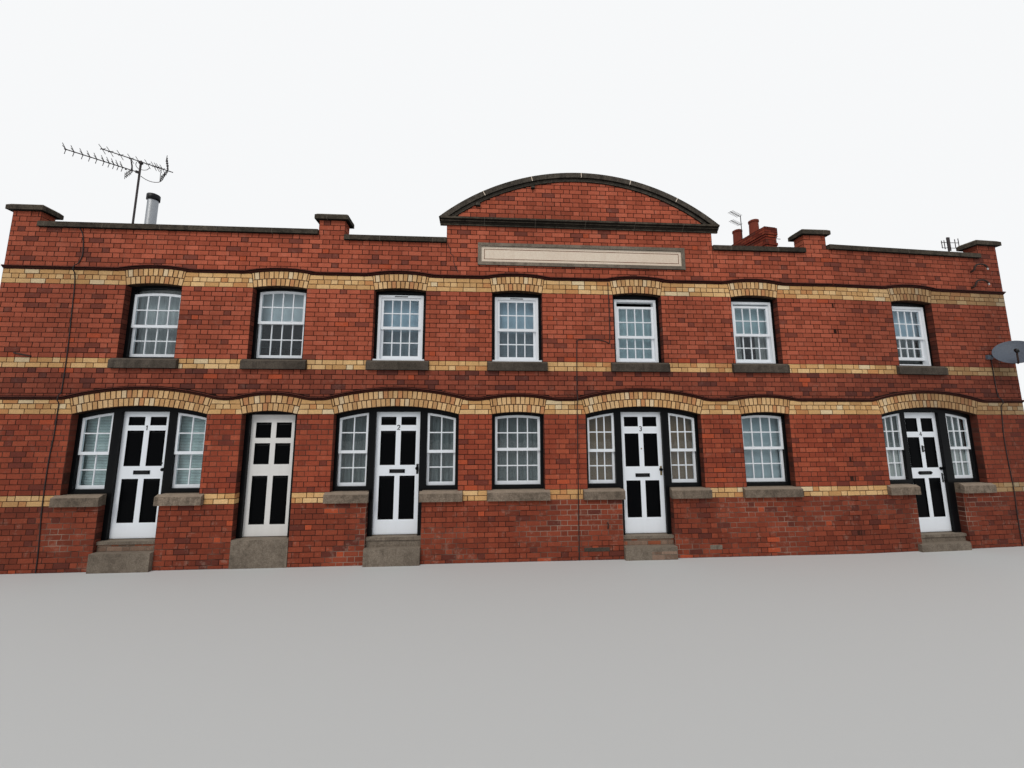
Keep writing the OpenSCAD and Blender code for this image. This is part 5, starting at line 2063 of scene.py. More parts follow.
@dataclass(frozen=True)
class Doors:
    """Panel mouldings, letter plates, handles and numbers."""

    stile: float = 0.084

    def specs(self) -> list[DoorSpec]:
        """The five doors of the street front.

        Returns:
            Their places and sizes.
        """
        rows = (
            ((0.235, 0.68), (1.115, 0.57), (1.768, 0.14)),
            ((0.235, 0.704), (1.115, 0.57), (1.782, 0.14)),
            ((0.259, 0.618), (1.115, 0.57), (1.808, 0.17)),
            ((0.257, 0.696), (1.142, 0.56), (1.802, 0.255)),
        )
        found = []
        for i in range(4):
            body, x, foot = f"front_door_{i + 1}", ROW.door_x[i], ROW.leaf_foot[i]
            found.append(DoorSpec(body, x, foot, ROW.leaf_w, rows[i], str(i + 1)))
        rows = ((0.182, 0.769), (1.135, 0.344), (1.564, 0.257))
        passage = DoorSpec("passage_door", PASSAGE.x, ROW.passage_foot, ROW.passage_leaf, rows)
        return [*found, passage]

    def panels(self, door: DoorSpec) -> Ends:
        """Places of the panels of a door.

        Args:
            door: The door.

        Returns:
            Lowest and highest corners along the wall and in height.
        """
        low, high = [], []
        wide = (door.width - self.stile) / 2 - self.stile
        for start, tall in door.rows:
            for left in (self.stile, (door.width + self.stile) / 2):
                x = door.x - door.width / 2 + left
                low.append([x, door.foot + start])
                high.append([x + wide, door.foot + start + tall])
        return low, high

    def mouldings(self, door: DoorSpec) -> None:
        """A black quarter moulding round each panel and a raised field on it.

        Args:
            door: The door.
        """
        low, high = self.panels(door)
        face, rim = ROW.leaf_depth, 0.059
        edge = ((0.0005, 0.002), (0.003, 0.0015), (0.01, 0.005), (0.014, 0.0138))
        raised = ((0.026, 0.0139), (0.04, 0.009), (0.06, 0.009))
        parts = [
            frames(low, high, [(inset, face + deep) for inset, deep in line], FrontWall.place)
            for line in (edge, raised)
        ]
        low = [(x + rim, face + 0.0091, z + rim) for x, z in low]
        high = [(x - rim, face + 0.0139, z - rim) for x, z in high]
        made = joined([*parts, front_boxes(low, high, 0.0005)])
        name = f"panel_mouldings_{door.body}"
        make_piece(name, made, Looks.DOOR_BLACK, "black_door_paint", door.body)

    def letter_plate(self, door: DoorSpec, z: float, half: float, shift: float) -> None:
        """A frame and a flap over the plate of the CAD model.

        Args:
            door: The door.
            z: Height of the middle of the plate.
            half: Half its width.
            shift: How far its middle lies beside that of the door.
        """
        face, x = ROW.leaf_depth - 0.005, door.x + shift
        line = ((0.0, 0.002), (0.001, -0.003), (0.01, -0.004), (0.012, 0.001))
        edge = [(inset, face + deep) for inset, deep in line]
        ring = frames([(x - half, z - 0.031)], [(x + half, z + 0.031)], edge, FrontWall.place)
        low, high = (x - half + 0.03, face - 0.004, z - 0.018), (
            x + half - 0.03, face + 0.001, z + 0.018,
        )
        made = joined([ring, front_boxes([low], [high])])
        name = f"letter_plate_{door.body}"
        make_piece(name, made, Looks.DARK_METAL, "black_door_paint", door.body)

    def digit(self, mark: str) -> list[Array]:
        """Strokes of a plain figure in a box one high and 0.6 wide.

        Args:
            mark: The figure.

        Returns:
            Lines of points.
        """

        def arc(cx: float, cy: float, r: float, a0: float, a1: float) -> Array:
            """Points of an arc round a centre, from one angle to another."""
            t = np.radians(np.linspace(a0, a1, 9))
            return np.stack((cx + r * np.cos(t), cy + r * np.sin(t)), 1)

        shapes = {
            "1": [np.array([(0.12, 0.8), (0.32, 1.0), (0.32, 0.0)])],
            "2": [np.array([*arc(0.3, 0.72, 0.27, 165, -35), (0.04, 0.02), (0.6, 0.02)])],
            "3": [arc(0.28, 0.74, 0.25, 150, -90), arc(0.28, 0.25, 0.26, 90, -150)],
            "4": [np.array([(0.44, 0.0), (0.44, 1.0), (0.04, 0.3), (0.62, 0.3)])],
        }
        return shapes[mark]

    def number(self, door: DoorSpec) -> None:
        """The plain number at the head of the muntin, made of flat strokes.

        Args:
            door: The door.
        """
        tall, thick = 0.076, 0.014
        z = door.foot + door.rows[2][0] - 0.04
        points, quads, start = [], [], 0
        deep = (ROW.leaf_depth - 0.003, ROW.leaf_depth + 0.001)
        for line in self.digit(door.number):
            p = line * tall + np.array([door.x - 0.3 * tall, z - tall / 2])
            way = np.gradient(p, axis=0)
            way /= np.linalg.norm(way, axis=1, keepdims=True)
            side = np.stack((-way[:, 1], way[:, 0]), 1) * thick / 2
            rows = np.stack((p + side, p - side), 1)
            sheets = [FrontWall.place(rows[..., 0], np.array(y), rows[..., 1]) for y in deep]
            points.append(np.concatenate(sheets, 1).reshape(-1, 3))
            k = np.arange(len(p) - 1)[:, None] * 4 + start
            quads += [k + np.array(q) for q in ((0, 1, 5, 4), (1, 3, 7, 5), (2, 0, 4, 6))]
            quads.append(start + np.array([[0, 2, 3, 1]]))
            start += 4 * len(p)
            quads.append(start - np.array([[4, 3, 1, 2]]))
        made = Surface(np.concatenate(points), quads)
        make_piece(f"number_{door.body}", made, Looks.DOOR_BLACK, "black_door_paint", door.body)

    def furniture(self, door: DoorSpec, kind: int) -> None:
        """Back plate, lock and pull or knocker, which differ from door to door.

        Args:
            door: The door.
            kind: Its number, from one.
        """
        face = ROW.leaf_depth
        edge, middle = door.x + door.width / 2 - 0.05, door.foot + 1.06
        lock, spy = (edge + 0.006, middle - 0.02, 0.018, 0.078), door.foot + 1.42
        plates = {
            1: [(door.x + 0.29, middle + 0.1, 0.014, 0.014)],
            2: [(edge + 0.006, middle - 0.01, 0.019, 0.082)],
            3: [lock, (door.x, spy, 0.011, 0.011)],
            4: [(edge + 0.012, door.foot + 0.955, 0.014, 0.085), (door.x, 1.755, 0.017, 0.06)],
        }[kind]
        low = [(x - w, face - 0.006, z - h) for x, z, w, h in plates]
        high = [(x + w, face + 0.001, z + h) for x, z, w, h in plates]
        made = front_boxes(low, high)
        if kind == 4:
            (x, mid, _, _), (centre, top, _, _) = plates
            pull = [(x, face, mid + 0.06), (x, face - 0.04, mid + 0.05)]
            pull += [(x, y, 2 * mid - z) for x, y, z in pull[::-1]]
            turn = np.linspace(0, math.pi, 9)
            ring = [(centre + 0.024 * math.sin(a), top + 0.045 * math.cos(a)) for a in turn]
            ring += [(2 * centre - x, z) for x, z in ring[-2:0:-1]]
            ring = [(x, face - 0.02, z) for x, z in (*ring, ring[0])]
            paths = [rounded(pull), np.array(ring)]
            tubes = [tube(FrontWall.place(*path.T), 0.006) for path in paths]
            made = joined([made, *tubes])
        look = Looks.BRASS if kind == 3 else Looks.DARK_METAL
        make_piece(f"lock_plates_{door.body}", made, look, "black_door_paint", door.body)

    def bottom_board(self, door: DoorSpec) -> None:
        """The board over the bottom rail, with a fine line above it.

        Args:
            door: The door.
        """
        half, face = door.width / 2 - 0.012, ROW.leaf_depth
        low = [(door.x - half, face - 0.004, door.foot + 0.012)]
        high = [(door.x + half, face + 0.001, door.foot + door.rows[0][0] - 0.022)]
        made = front_boxes(low, high, 0.003)
        make_piece(f"bottom_board_{door.body}", made, Looks.DOOR_WHITE, "white_door", door.body)

    def build(self) -> None:
        """Builds all of it."""
        plain = (1.016, 0.128, 0.0)
        plates = (plain, plain, (0.966, 0.128, 0.0), (1.047, 0.126, -0.016))
        for i, door in enumerate(self.specs()):
            self.mouldings(door)
            if door.number:
                height, half, shift = plates[i]
                self.letter_plate(door, door.foot + height, half, shift)
                self.number(door)
                self.furniture(door, i + 1)
                self.bottom_board(door)


# Roof, back and sides


BACK_WINDOWS = (
    *((x - 0.45, 3.297, 0.9, 1.2) for x in UPPER_X),
    *((x - 0.55, 1.2, 1.1, 1.24) for x in (-6.737, -2.672, 1.553, 6.9)),
)
BACK_DOOR = (-5.137, 0.434, 0.82, 1.99)


@dataclass(frozen=True)
class Shell:
    """Brickwork of the back and the sides, slates, ridge and gutters.

    Openings of the back are given as left side, foot, width and height.
    """

    slate_w: float = 0.3
    slate_show: float = 0.21
    ends: tuple[float, float] = (ROW.left + ROW.wall + 0.004, ROW.end - ROW.wall - 0.004)

    def side_wall(self, name: str, left: bool) -> None:
        """Bricks on a party wall, up to the line that rises with the roof.

        Args:
            name: Name of the piece.
            left: Whether it is the left wall.
        """
        front = ROW.face + ROW.wall + (0 if left else 0.235)
        work = Brickwork()

        def top(y: Array) -> Array:
            """Height of the top of the wall at places across the row."""
            ys = [front, ROW.face + ROW.wall + 0.42, ROW.ridge_y, ROW.back]
            zs = [5.33, 5.33, 6.97, 4.9]
            return np.interp(y, ys, zs)

        if left:
            place = lambda u, v, d: np.stack((ROW.left + d, -u, v), -1)
            ceiling = lambda u: top(-u)
            span = (-ROW.back, -front)
        else:
            place = lambda u, v, d: np.stack((ROW.end - d, u, v), -1)
            ceiling = top
            span = (front, ROW.back)
        feet = np.arange(84) * ROW.course
        work.lay(between((), *span), [(foot, foot + ROW.course) for foot in feet])
        tiles = work.tiles(ceiling=ceiling, seed=91 + left)
        make_piece(name, tiles.surface(place), Looks.PLAIN, "plain_brick")

    def back_wall(self) -> None:
        """Bricks on the back wall, parted at its windows and its door."""
        holes = (*BACK_WINDOWS, BACK_DOOR)
        work = Brickwork()
        place = lambda u, v, d: np.stack((-u, ROW.back - d, v), -1)
        for k in range(59):
            z0 = k * ROW.course
            z1 = min(z0 + ROW.course, ROW.eaves_z)
            mid = (z0 + z1) / 2
            gaps = [(-x - wide, -x) for x, z, wide, tall in holes if z < mid < z + tall]
            reaches = between(gaps, -ROW.end, -ROW.left)
            work.course(reaches, z0, z1, Bond.FLEMISH, k % 2 == 0)
        make_piece("back_bricks", work.tiles(seed=95).surface(place), Looks.PLAIN, "plain_brick")

    def slates(self) -> None:
        """Slates on both slopes, each course lapped over the one below and moved by half."""
        self.slope("front_slates", ROW.slope_y, ROW.eaves_z + ROW.slab, -1)
        fall = (ROW.ridge_z - ROW.eaves_z) / (ROW.back - ROW.ridge_y)
        foot = ROW.eaves_z - (ROW.verge_y - ROW.back) * fall + 0.03 + ROW.slab
        self.slope("back_slates", ROW.verge_y, foot, 1)

    def slope(self, name: str, foot_y: float, foot_z: float, side: int) -> None:
        """Slates of one slope.

        Args:
            name: Name of the piece.
            foot_y: Where the slope starts.
            foot_z: Height there.
            side: -1 for the front slope, 1 for the back one.
        """
        (left, right), wide = self.ends, self.slate_w
        run = abs(ROW.ridge_y - foot_y)
        fall = (ROW.ridge_z - foot_z) / run
        hyp = math.hypot(1, fall)
        rows = int(run * hyp / self.slate_show)
        length = run * hyp
        show = length / rows
        foot, head = [], []
        for k in range(rows):
            edges = np.arange(left, right, wide) + (wide / 2 if k % 2 else 0)
            inner = edges[(edges > left + 0.05) & (edges < right - 0.05)]
            edges = np.array([left, *inner, right])
            a, b = edges[:-1] + 0.0015, edges[1:] - 0.0015
            if side > 0:
                a, b = -b, -a
            u = np.stack((a, b), 1)
            top = min((k + 1) * show + 0.03, length)
            foot.append(np.stack((u, np.full(u.shape, k * show)), -1))
            head.append(np.stack((u, np.full(u.shape, top)), -1))
        foot, head = np.concatenate(foot), np.concatenate(head)

        def place(u: Array, v: Array, depth: Array) -> Array:
            """Places on the slope; each slate tips forward onto the course below it.

            Args:
                u: Places along the row.
                v: Lengths up the slope.
                depth: Depths into it.

            Returns:
                Points of the row frame.
            """
            lift = -depth + 0.010 * (1 - np.mod(v + 1e-6, show) / show)
            y = foot_y - side * (v / hyp) + side * lift * fall / hyp
            z = foot_z + v * fall / hyp + lift / hyp
            return np.stack((u if side < 0 else -u, y, z), -1)

        sizes = {"proud": 0.006, "bevel": 0.002, "bury": 0.012, "jitter": 0.0008}
        made = Tiles(foot, head, seed=97 + side, **sizes).surface(place)
        made.points[..., 1] = np.minimum(made.points[..., 1], ROW.verge_y - 0.001)
        make_piece(name, made, Looks.SLATE, "slate")

    def ridge(self) -> None:
        """Clay ridge tiles, each a folded plate with a roll, lapped along the ridge."""
        left, right = self.ends
        count = int((right - left) / 0.45)
        step = (right - left) / count
        half = [(0.02, 0.036), (0.03, 0.02), (0.145, -0.05), (0.15, -0.062)]
        line = np.array([*((-y, z) for y, z in half[::-1]), (0, 0.045), *half])
        m = len(line)
        start = left + step * np.arange(count)
        ends = np.stack((start + 0.001, start + step - 0.001), 1)
        x = np.broadcast_to(ends[:, :, None], (count, 2, m))
        swell = np.array([1.0, 1.03])[None, :, None]
        y = ROW.ridge_y + np.broadcast_to(line[None, None, :, 0], x.shape) * swell
        z = ROW.ridge_z + 0.02 + np.broadcast_to(line[None, None, :, 1], x.shape) * swell
        points = np.stack((x, y, z), -1)
        k = np.arange(m - 1)
        top = np.stack((k, m + k, m + k + 1, k + 1), 1)
        caps = np.array([np.arange(m), np.arange(2 * m - 1, m - 1, -1)])
        made = Surface(points, [repeat_faces(top, count, 2 * m), repeat_faces(caps, count, 2 * m)])
        make_piece("ridge_tiles", made, Looks.CLAY, "slate")

    def back_panes(self) -> None:
        """Dark panes over the plain sheets of the back windows, with white bars on them."""
        rim, deep = 0.06, ROW.back - ROW.reveal
        panes, bars = ([], []), ([], [])
        for x, z, wide, tall in BACK_WINDOWS:
            mid = z + tall / 2
            for foot, head in ((z + rim, mid - rim / 4), (mid + rim / 4, z + tall - rim)):
                panes[0].append((x + rim, deep - 0.0305, foot))
                panes[1].append((x + wide - rim, deep - 0.029, head))
                bars[0].append((x + wide / 2 - 0.01, deep - 0.0295, foot))
                bars[1].append((x + wide / 2 + 0.01, deep - 0.004, head))
        make_piece("back_panes", boxes(*panes, None, 0.0003), Looks.DARK_PANE, "white_paint")
        make_piece("back_bars", boxes(*bars, None, 0.002), Looks.WHITE, "white_paint")

    def back_trim(self) -> None:
        """Sills and lintels of the back windows, boards of the back door, a fascia and a gutter."""
        y, holes = ROW.back, (*BACK_WINDOWS, BACK_DOOR)
        x0, z0, door_w, _ = BACK_DOOR
        low = [(x - 0.06, y - 0.11, z - 0.07) for x, z, _, _ in BACK_WINDOWS]
        high = [(x + wide + 0.06, y + 0.035, z + 0.006) for x, z, wide, _ in BACK_WINDOWS]
        low += [(x - 0.1, y - 0.02, z + tall) for x, z, _, tall in holes]
        high += [(x + wide + 0.1, y + 0.009, z + tall + 0.16) for x, z, wide, tall in holes]
        low.append((x0 - 0.06, y - 0.11, z0 - 0.1))
        high.append((x0 + door_w + 0.06, y + 0.12, z0 + 0.004))
        make_piece("back_stones", boxes(low, high, None, 0.004), Looks.SILL_STONE, "plain_brick")
        face = y - ROW.reveal
        line = [(0.0, -0.001), (0.004, 0.008), (0.014, 0.008), (0.02, 0.001)]
        edge = -x0 - door_w + 0.1
        low = [(edge + a * 0.33, z0 + z) for z in (0.2, 1.05) for a in (0, 1)]
        high = [(a + 0.29, b + (0.72 if b < 1 else 0.8)) for a, b in low]
        made = frames(low, high, line, lambda u, d, v: np.stack((-u, face + d, v), -1))
        make_piece("back_door_panels", made, Looks.WHITE, "white_paint")
        left, right = ROW.left + 0.02, ROW.end - 0.02
        made = boxes([(left, y + 0.003, 4.7)], [(right, y + 0.026, 4.855)], None, 0.003)
        make_piece("back_fascia", made, Looks.BLACK, "slate")
        turn = np.linspace(math.pi, 2 * math.pi, 13)
        ring = [(r * np.cos(turn), r * np.sin(turn)) for r in (0.055, 0.05)]
        across, height = (np.concatenate((a, b[::-1])) for a, b in zip(*ring))
        across, height, m = across + y + 0.085, height + 4.79, len(across)
        points = np.stack([np.stack((np.full(m, x), across, height), -1) for x in (left, right)])
        j = np.arange(12)
        caps = np.stack((j, m - 1 - j, m - 2 - j, j + 1), 1)
        made = Surface(points, [bands(m), caps, m + caps[:, ::-1]])
        make_piece("back_gutter", made, Looks.BLACK, "slate")

    def build(self) -> None:
        """Builds all of it."""
        self.back_panes()
        self.back_trim()
        self.side_wall("left_wall_bricks", True)
        self.side_wall("right_wall_bricks", False)
        self.back_wall()
        self.slates()
        self.ridge()


@dataclass(frozen=True)
class Stack:
    """Bricks of the chimney stack and a black cap on the flue."""

    origin: tuple[float, float] = (7.161, 0.1945)
    turn: float = math.radians(8.5)
    low: tuple[float, float] = (0.029, 0.029)
    high: tuple[float, float] = (0.424, 1.529)
    zones: tuple[tuple[float, float, float], ...] = (
        (6.0, 7.544, 0.0),
        (7.544, 7.627, 0.0203),
        (7.627, 7.793, 0.0),
        (7.793, 7.856, 0.0145),
        (7.866, 8.095, 0.029),
    )

    def at(self, x: Array, y: Array, z: Array) -> Array:
        """Points of the stack's own turned frame as points of the row frame."""
        c, s = math.cos(self.turn), math.sin(self.turn)
        return np.stack((self.origin[0] + x * c - y * s, self.origin[1] + x * s + y * c, z), -1)

    def bricks(self) -> None:
        """Bricks on the four faces, zone by zone, each zone standing out by its own step."""
        surfaces = []
        for k, (z0, z1, out) in enumerate(self.zones):
            (x0, y0), (x1, y1) = (v - out for v in self.low), (v + out for v in self.high)
            faces = (
                (x0, x1, lambda u, v, d, y=y0: self.at(u, y + d, v)),
                (-x1, -x0, lambda u, v, d, y=y1: self.at(-u, y - d, v)),
                (-y1, -y0, lambda u, v, d, x=x0: self.at(x + d, -u, v)),
                (y0, y1, lambda u, v, d, x=x1: self.at(x - d, u, v)),
            )
            for a, b, place in faces:
                work = Brickwork()
                work.lay(between((), a, b), courses(z0, z1), Bond.STRETCHERS)
                surfaces.append(work.tiles(seed=121 + k).surface(place))
        make_piece("stack_bricks", joined(surfaces), Looks.STACK, "stack_brick")

    def mortar_top(self) -> None:
        """Sloping mortar from the edge of the stack up to the pots."""
        foot, head = np.full(4, 8.125 - 0.002), np.full(4, 8.125 + 0.05)
        x0, y0, x1, y1 = *self.low, *self.high
        ring = np.array([(x0, y0), (x1, y0), (x1, y1), (x0, y1)])
        middle = ring.mean(0)
        inner = middle + (ring - middle) * np.array([0.55, 0.86])
        points = np.concatenate((self.at(*ring.T, foot), self.at(*inner.T, head)))
        made = Surface(points, [bands(4), np.array([[4, 5, 6, 7], [3, 2, 1, 0]])])
        make_piece("stack_mortar", made, Looks.MORTAR, "stack_brick")

    def flue_cap(self) -> None:
        """A black cap with a closed top round the head of the flue."""
        rim = [(0.108, 6.72), (0.112, 6.726), (0.112, 6.828), (0.103, 6.838)]
        made = turned([(0.0005, 6.72), *rim, (0.0005, 6.842)], (-7.92, -2.6, 0.0))
        make_piece("flue_cap", made, Looks.DARK_METAL, "flue_steel")

    def build(self) -> None:
        """Builds all of it."""
        self.bricks()
        self.mortar_top()
        self.flue_cap()


@dataclass(frozen=True)
class Aerials:
    """Rods across the booms, their reflectors and the small aerials."""

    mast: tuple[float, float] = (-7.75, -3.19)
    turn: float = math.radians(40)
    upper_z: float = 7.173
    lower_z: float = 6.949

    def along(self, t: object, z: object, aside: object = 0.0) -> Array:
        """Places in the upright plane of the booms.

        Args:
            t: Places along a boom, from the mast.
            z: Heights.
            aside: How far they lie to the side.

        Returns:
            Points of the row frame.
        """
        t, z, aside = np.broadcast_arrays(*(np.asarray(v, float) for v in (t, z, aside)))
        c, s = math.cos(self.turn), math.sin(self.turn)
        return np.stack((self.mast[0] + t * c - aside * s, self.mast[1] + t * s + aside * c, z), -1)

    def crosses(self, z: float, places: Sequence[float], arms: Points) -> Ends:
        """Thin arms that spread from each node of a boom, leaning to either side in turn.

        Args:
            z: Height of the boom.
            places: The nodes along it, from the mast.
            arms: How far each arm reaches along the boom and upwards.

        Returns:
            Starts and ends of the rods.
        """
        starts, ends = [], []
        for t in places:
            for k, (dt, dz) in enumerate(arms):
                starts.append(self.along(t, z))
                ends.append(self.along(t + dt, z + dz, 0.06 if k % 2 else -0.06))
        return starts, ends

    def reflector(self, z: float, at: float, wings: Points) -> Ends:
        """Level rods across a boom on wings that lean from its end, with two rails each.

        Args:
            z: Height of the boom.
            at: Where the wings meet, from the mast.
            wings: Height and lean of each wing.

        Returns:
            Starts and ends of the rods.
        """
        way = np.array([math.cos(self.turn), math.sin(self.turn), 0])
        aside = np.array([-way[1], way[0], 0]) * 0.13
        foot = np.array([*self.mast, z]) + way * at
        starts, ends = [], []
        for tall, lean in wings:
            tip = np.array([0, 0, tall]) + way * lean
            for share in (0.2, 0.4, 0.6, 0.8, 1.0):
                starts.append(foot + tip * share - aside)
                ends.append(foot + tip * share + aside)
            for side in (-0.4, 0.4):
                starts.append(foot + aside * side)
                ends.append(foot + tip + aside * side)
        return starts, ends

    def build(self) -> None:
        """Builds all of it."""
        upper = (-0.527, -0.424, -0.288, -0.144, -0.032, 0.095, 0.186, 0.231, 0.263, 0.315)
        lower = (-0.956, -0.856, -0.749, -0.66, -0.573, -0.48, -0.411, -0.349, -0.291, -0.234)
        four = ((-0.05, 0.04), (0.037, 0.056), (-0.02, -0.05), (0.047, -0.05))
        three = ((-0.045, 0.072), (-0.016, -0.062), (-0.04, 0.025))
        sets = [
            self.crosses(self.upper_z, upper, four),
            self.crosses(self.lower_z, lower, three),
            self.reflector(self.upper_z, 0.4, ((0.24, -0.045), (-0.2, -0.09))),
            self.reflector(self.lower_z, -0.1, ((-0.15, -0.09), (0.1, -0.02))),
        ]
        starts, ends = [p for s in sets for p in s[0]], [p for s in sets for p in s[1]]
        made = rods(starts, ends, 0.005)
        nodes = [(t, self.upper_z) for t in upper] + [(t, self.lower_z) for t in lower]
        t, z = np.array([*nodes, (-0.19, 6.93)]).T
        blocks = rods(self.along(t - 0.013, z), self.along(t + 0.013, z), 0.012)
        stay = rods([self.along(-0.144, 7.17)], [self.along(-0.1, 6.95)], 0.009)
        made = joined([made, blocks, stay, rods(*self.small_rods(), 0.007)])
        make_piece("aerial_rods", made, Looks.ALUMINIUM, "aerial_metal")
        self.leads()

    def leads(self) -> None:
        """The free lead of the upper aerial, slack between its box and the mast, and loops."""
        slack = [
            *((0.355, 7.13), (0.35, 7.03), (0.335, 6.96), (0.3, 6.9)),
            *((0.25, 6.87), (0.18, 6.85), (0.1, 6.86), (0.02, 6.9)),
        ]
        path = self.along(*rounded(slack).T, 0.02)
        piece = make_piece("aerial_lead", tube(path, 0.006), Looks.CABLE, "aerial_metal")
        loops = (
            [(-0.06, 7.15), (-0.07, 7.08), (-0.03, 7.03), (0.0, 7.02)],
            [(0.13, 7.12), (0.1, 7.06), (0.05, 7.03), (0.01, 7.03)],
            [(0.3, 7.15), (0.295, 7.05), (0.3, 6.91)],
        )
        tubes = [tube(self.along(*rounded(line).T, 0.015), 0.005) for line in loops]
        make_piece("aerial_loops", joined(tubes), Looks.CABLE, "aerial_metal")

    @staticmethod
    def small_rods() -> Ends:
        """Rods of the aerial on the stack, and the loops beside the flat one on the wing.

        Returns:
            Starts and ends of the rods.
        """
        turn = math.radians(28.5)
        way = np.array([-math.cos(turn), -math.sin(turn), 0])
        aside = np.array([way[1], -way[0], 0])
        starts, ends = [], []
        mast = Stack().at(np.array(0.181), np.array(1.04), np.array(0.0))
        for z, half in ((8.98, 0.09), (8.68, 0.08)):
            for t in np.linspace(0.08, 0.58, 7):
                middle = mast + np.array([0, 0, z]) + way * t
                starts.append(middle - aside * half)
                ends.append(middle + aside * half)
        y = -3.17
        uprights = ((8.5, 5.92, 6.09), (8.56, 6.1, 5.9), (8.81, 5.93, 6.13), (8.89, 6.15, 5.92))
        for x, foot, head in uprights:
            starts.append(np.array([x, y, foot]))
            ends.append(np.array([x, y, head]))
        for z in (5.93, 6.05):
            starts.append(np.array([8.49, y, z]))
            ends.append(np.array([8.9, y, z]))
        bar = Stack().at(np.array([0.42, 0.72]), np.array([0.3, 0.24]), np.array([7.93, 7.97]))
        starts.append(bar[0])
        ends.append(bar[1])
        return starts, ends


CABLES: dict[str, Points] = {
    "left_cable": (
        *((-8.147, 5.6), (-8.05, 5.5), (-7.985, 5.4), (-7.94, 5.04), (-7.98, 4.93)),
        *((-8.04, 4.77), (-8.002, 4.55), (-7.986, 4.09), (-7.958, 3.39), (-7.956, 2.74)),
        *((-7.977, 2.45), (-7.97, 2.03), (-7.998, 1.72), (-7.995, 1.0), (-7.944, 0.27)),
        (-7.944, 0.01),
    ),
    "middle_cable": (
        *((1.0, 4.76), (1.009, 4.34), (1.003, 3.61), (0.95, 3.66), (0.823, 3.7), (0.43, 3.7)),
        *((0.403, 3.67), (0.382, 2.63), (0.368, 1.45), (0.355, 0.32), (0.355, 0.01)),
    ),
    "wing_cable": (
        *((8.577, 3.44), (8.579, 2.78), (8.632, 2.59), (8.6, 2.3), (8.562, 1.91)),
        *((8.583, 1.36), (8.593, 1.14), (8.596, 0.94), (8.573, 0.47), (8.579, 0.02)),
    ),
}


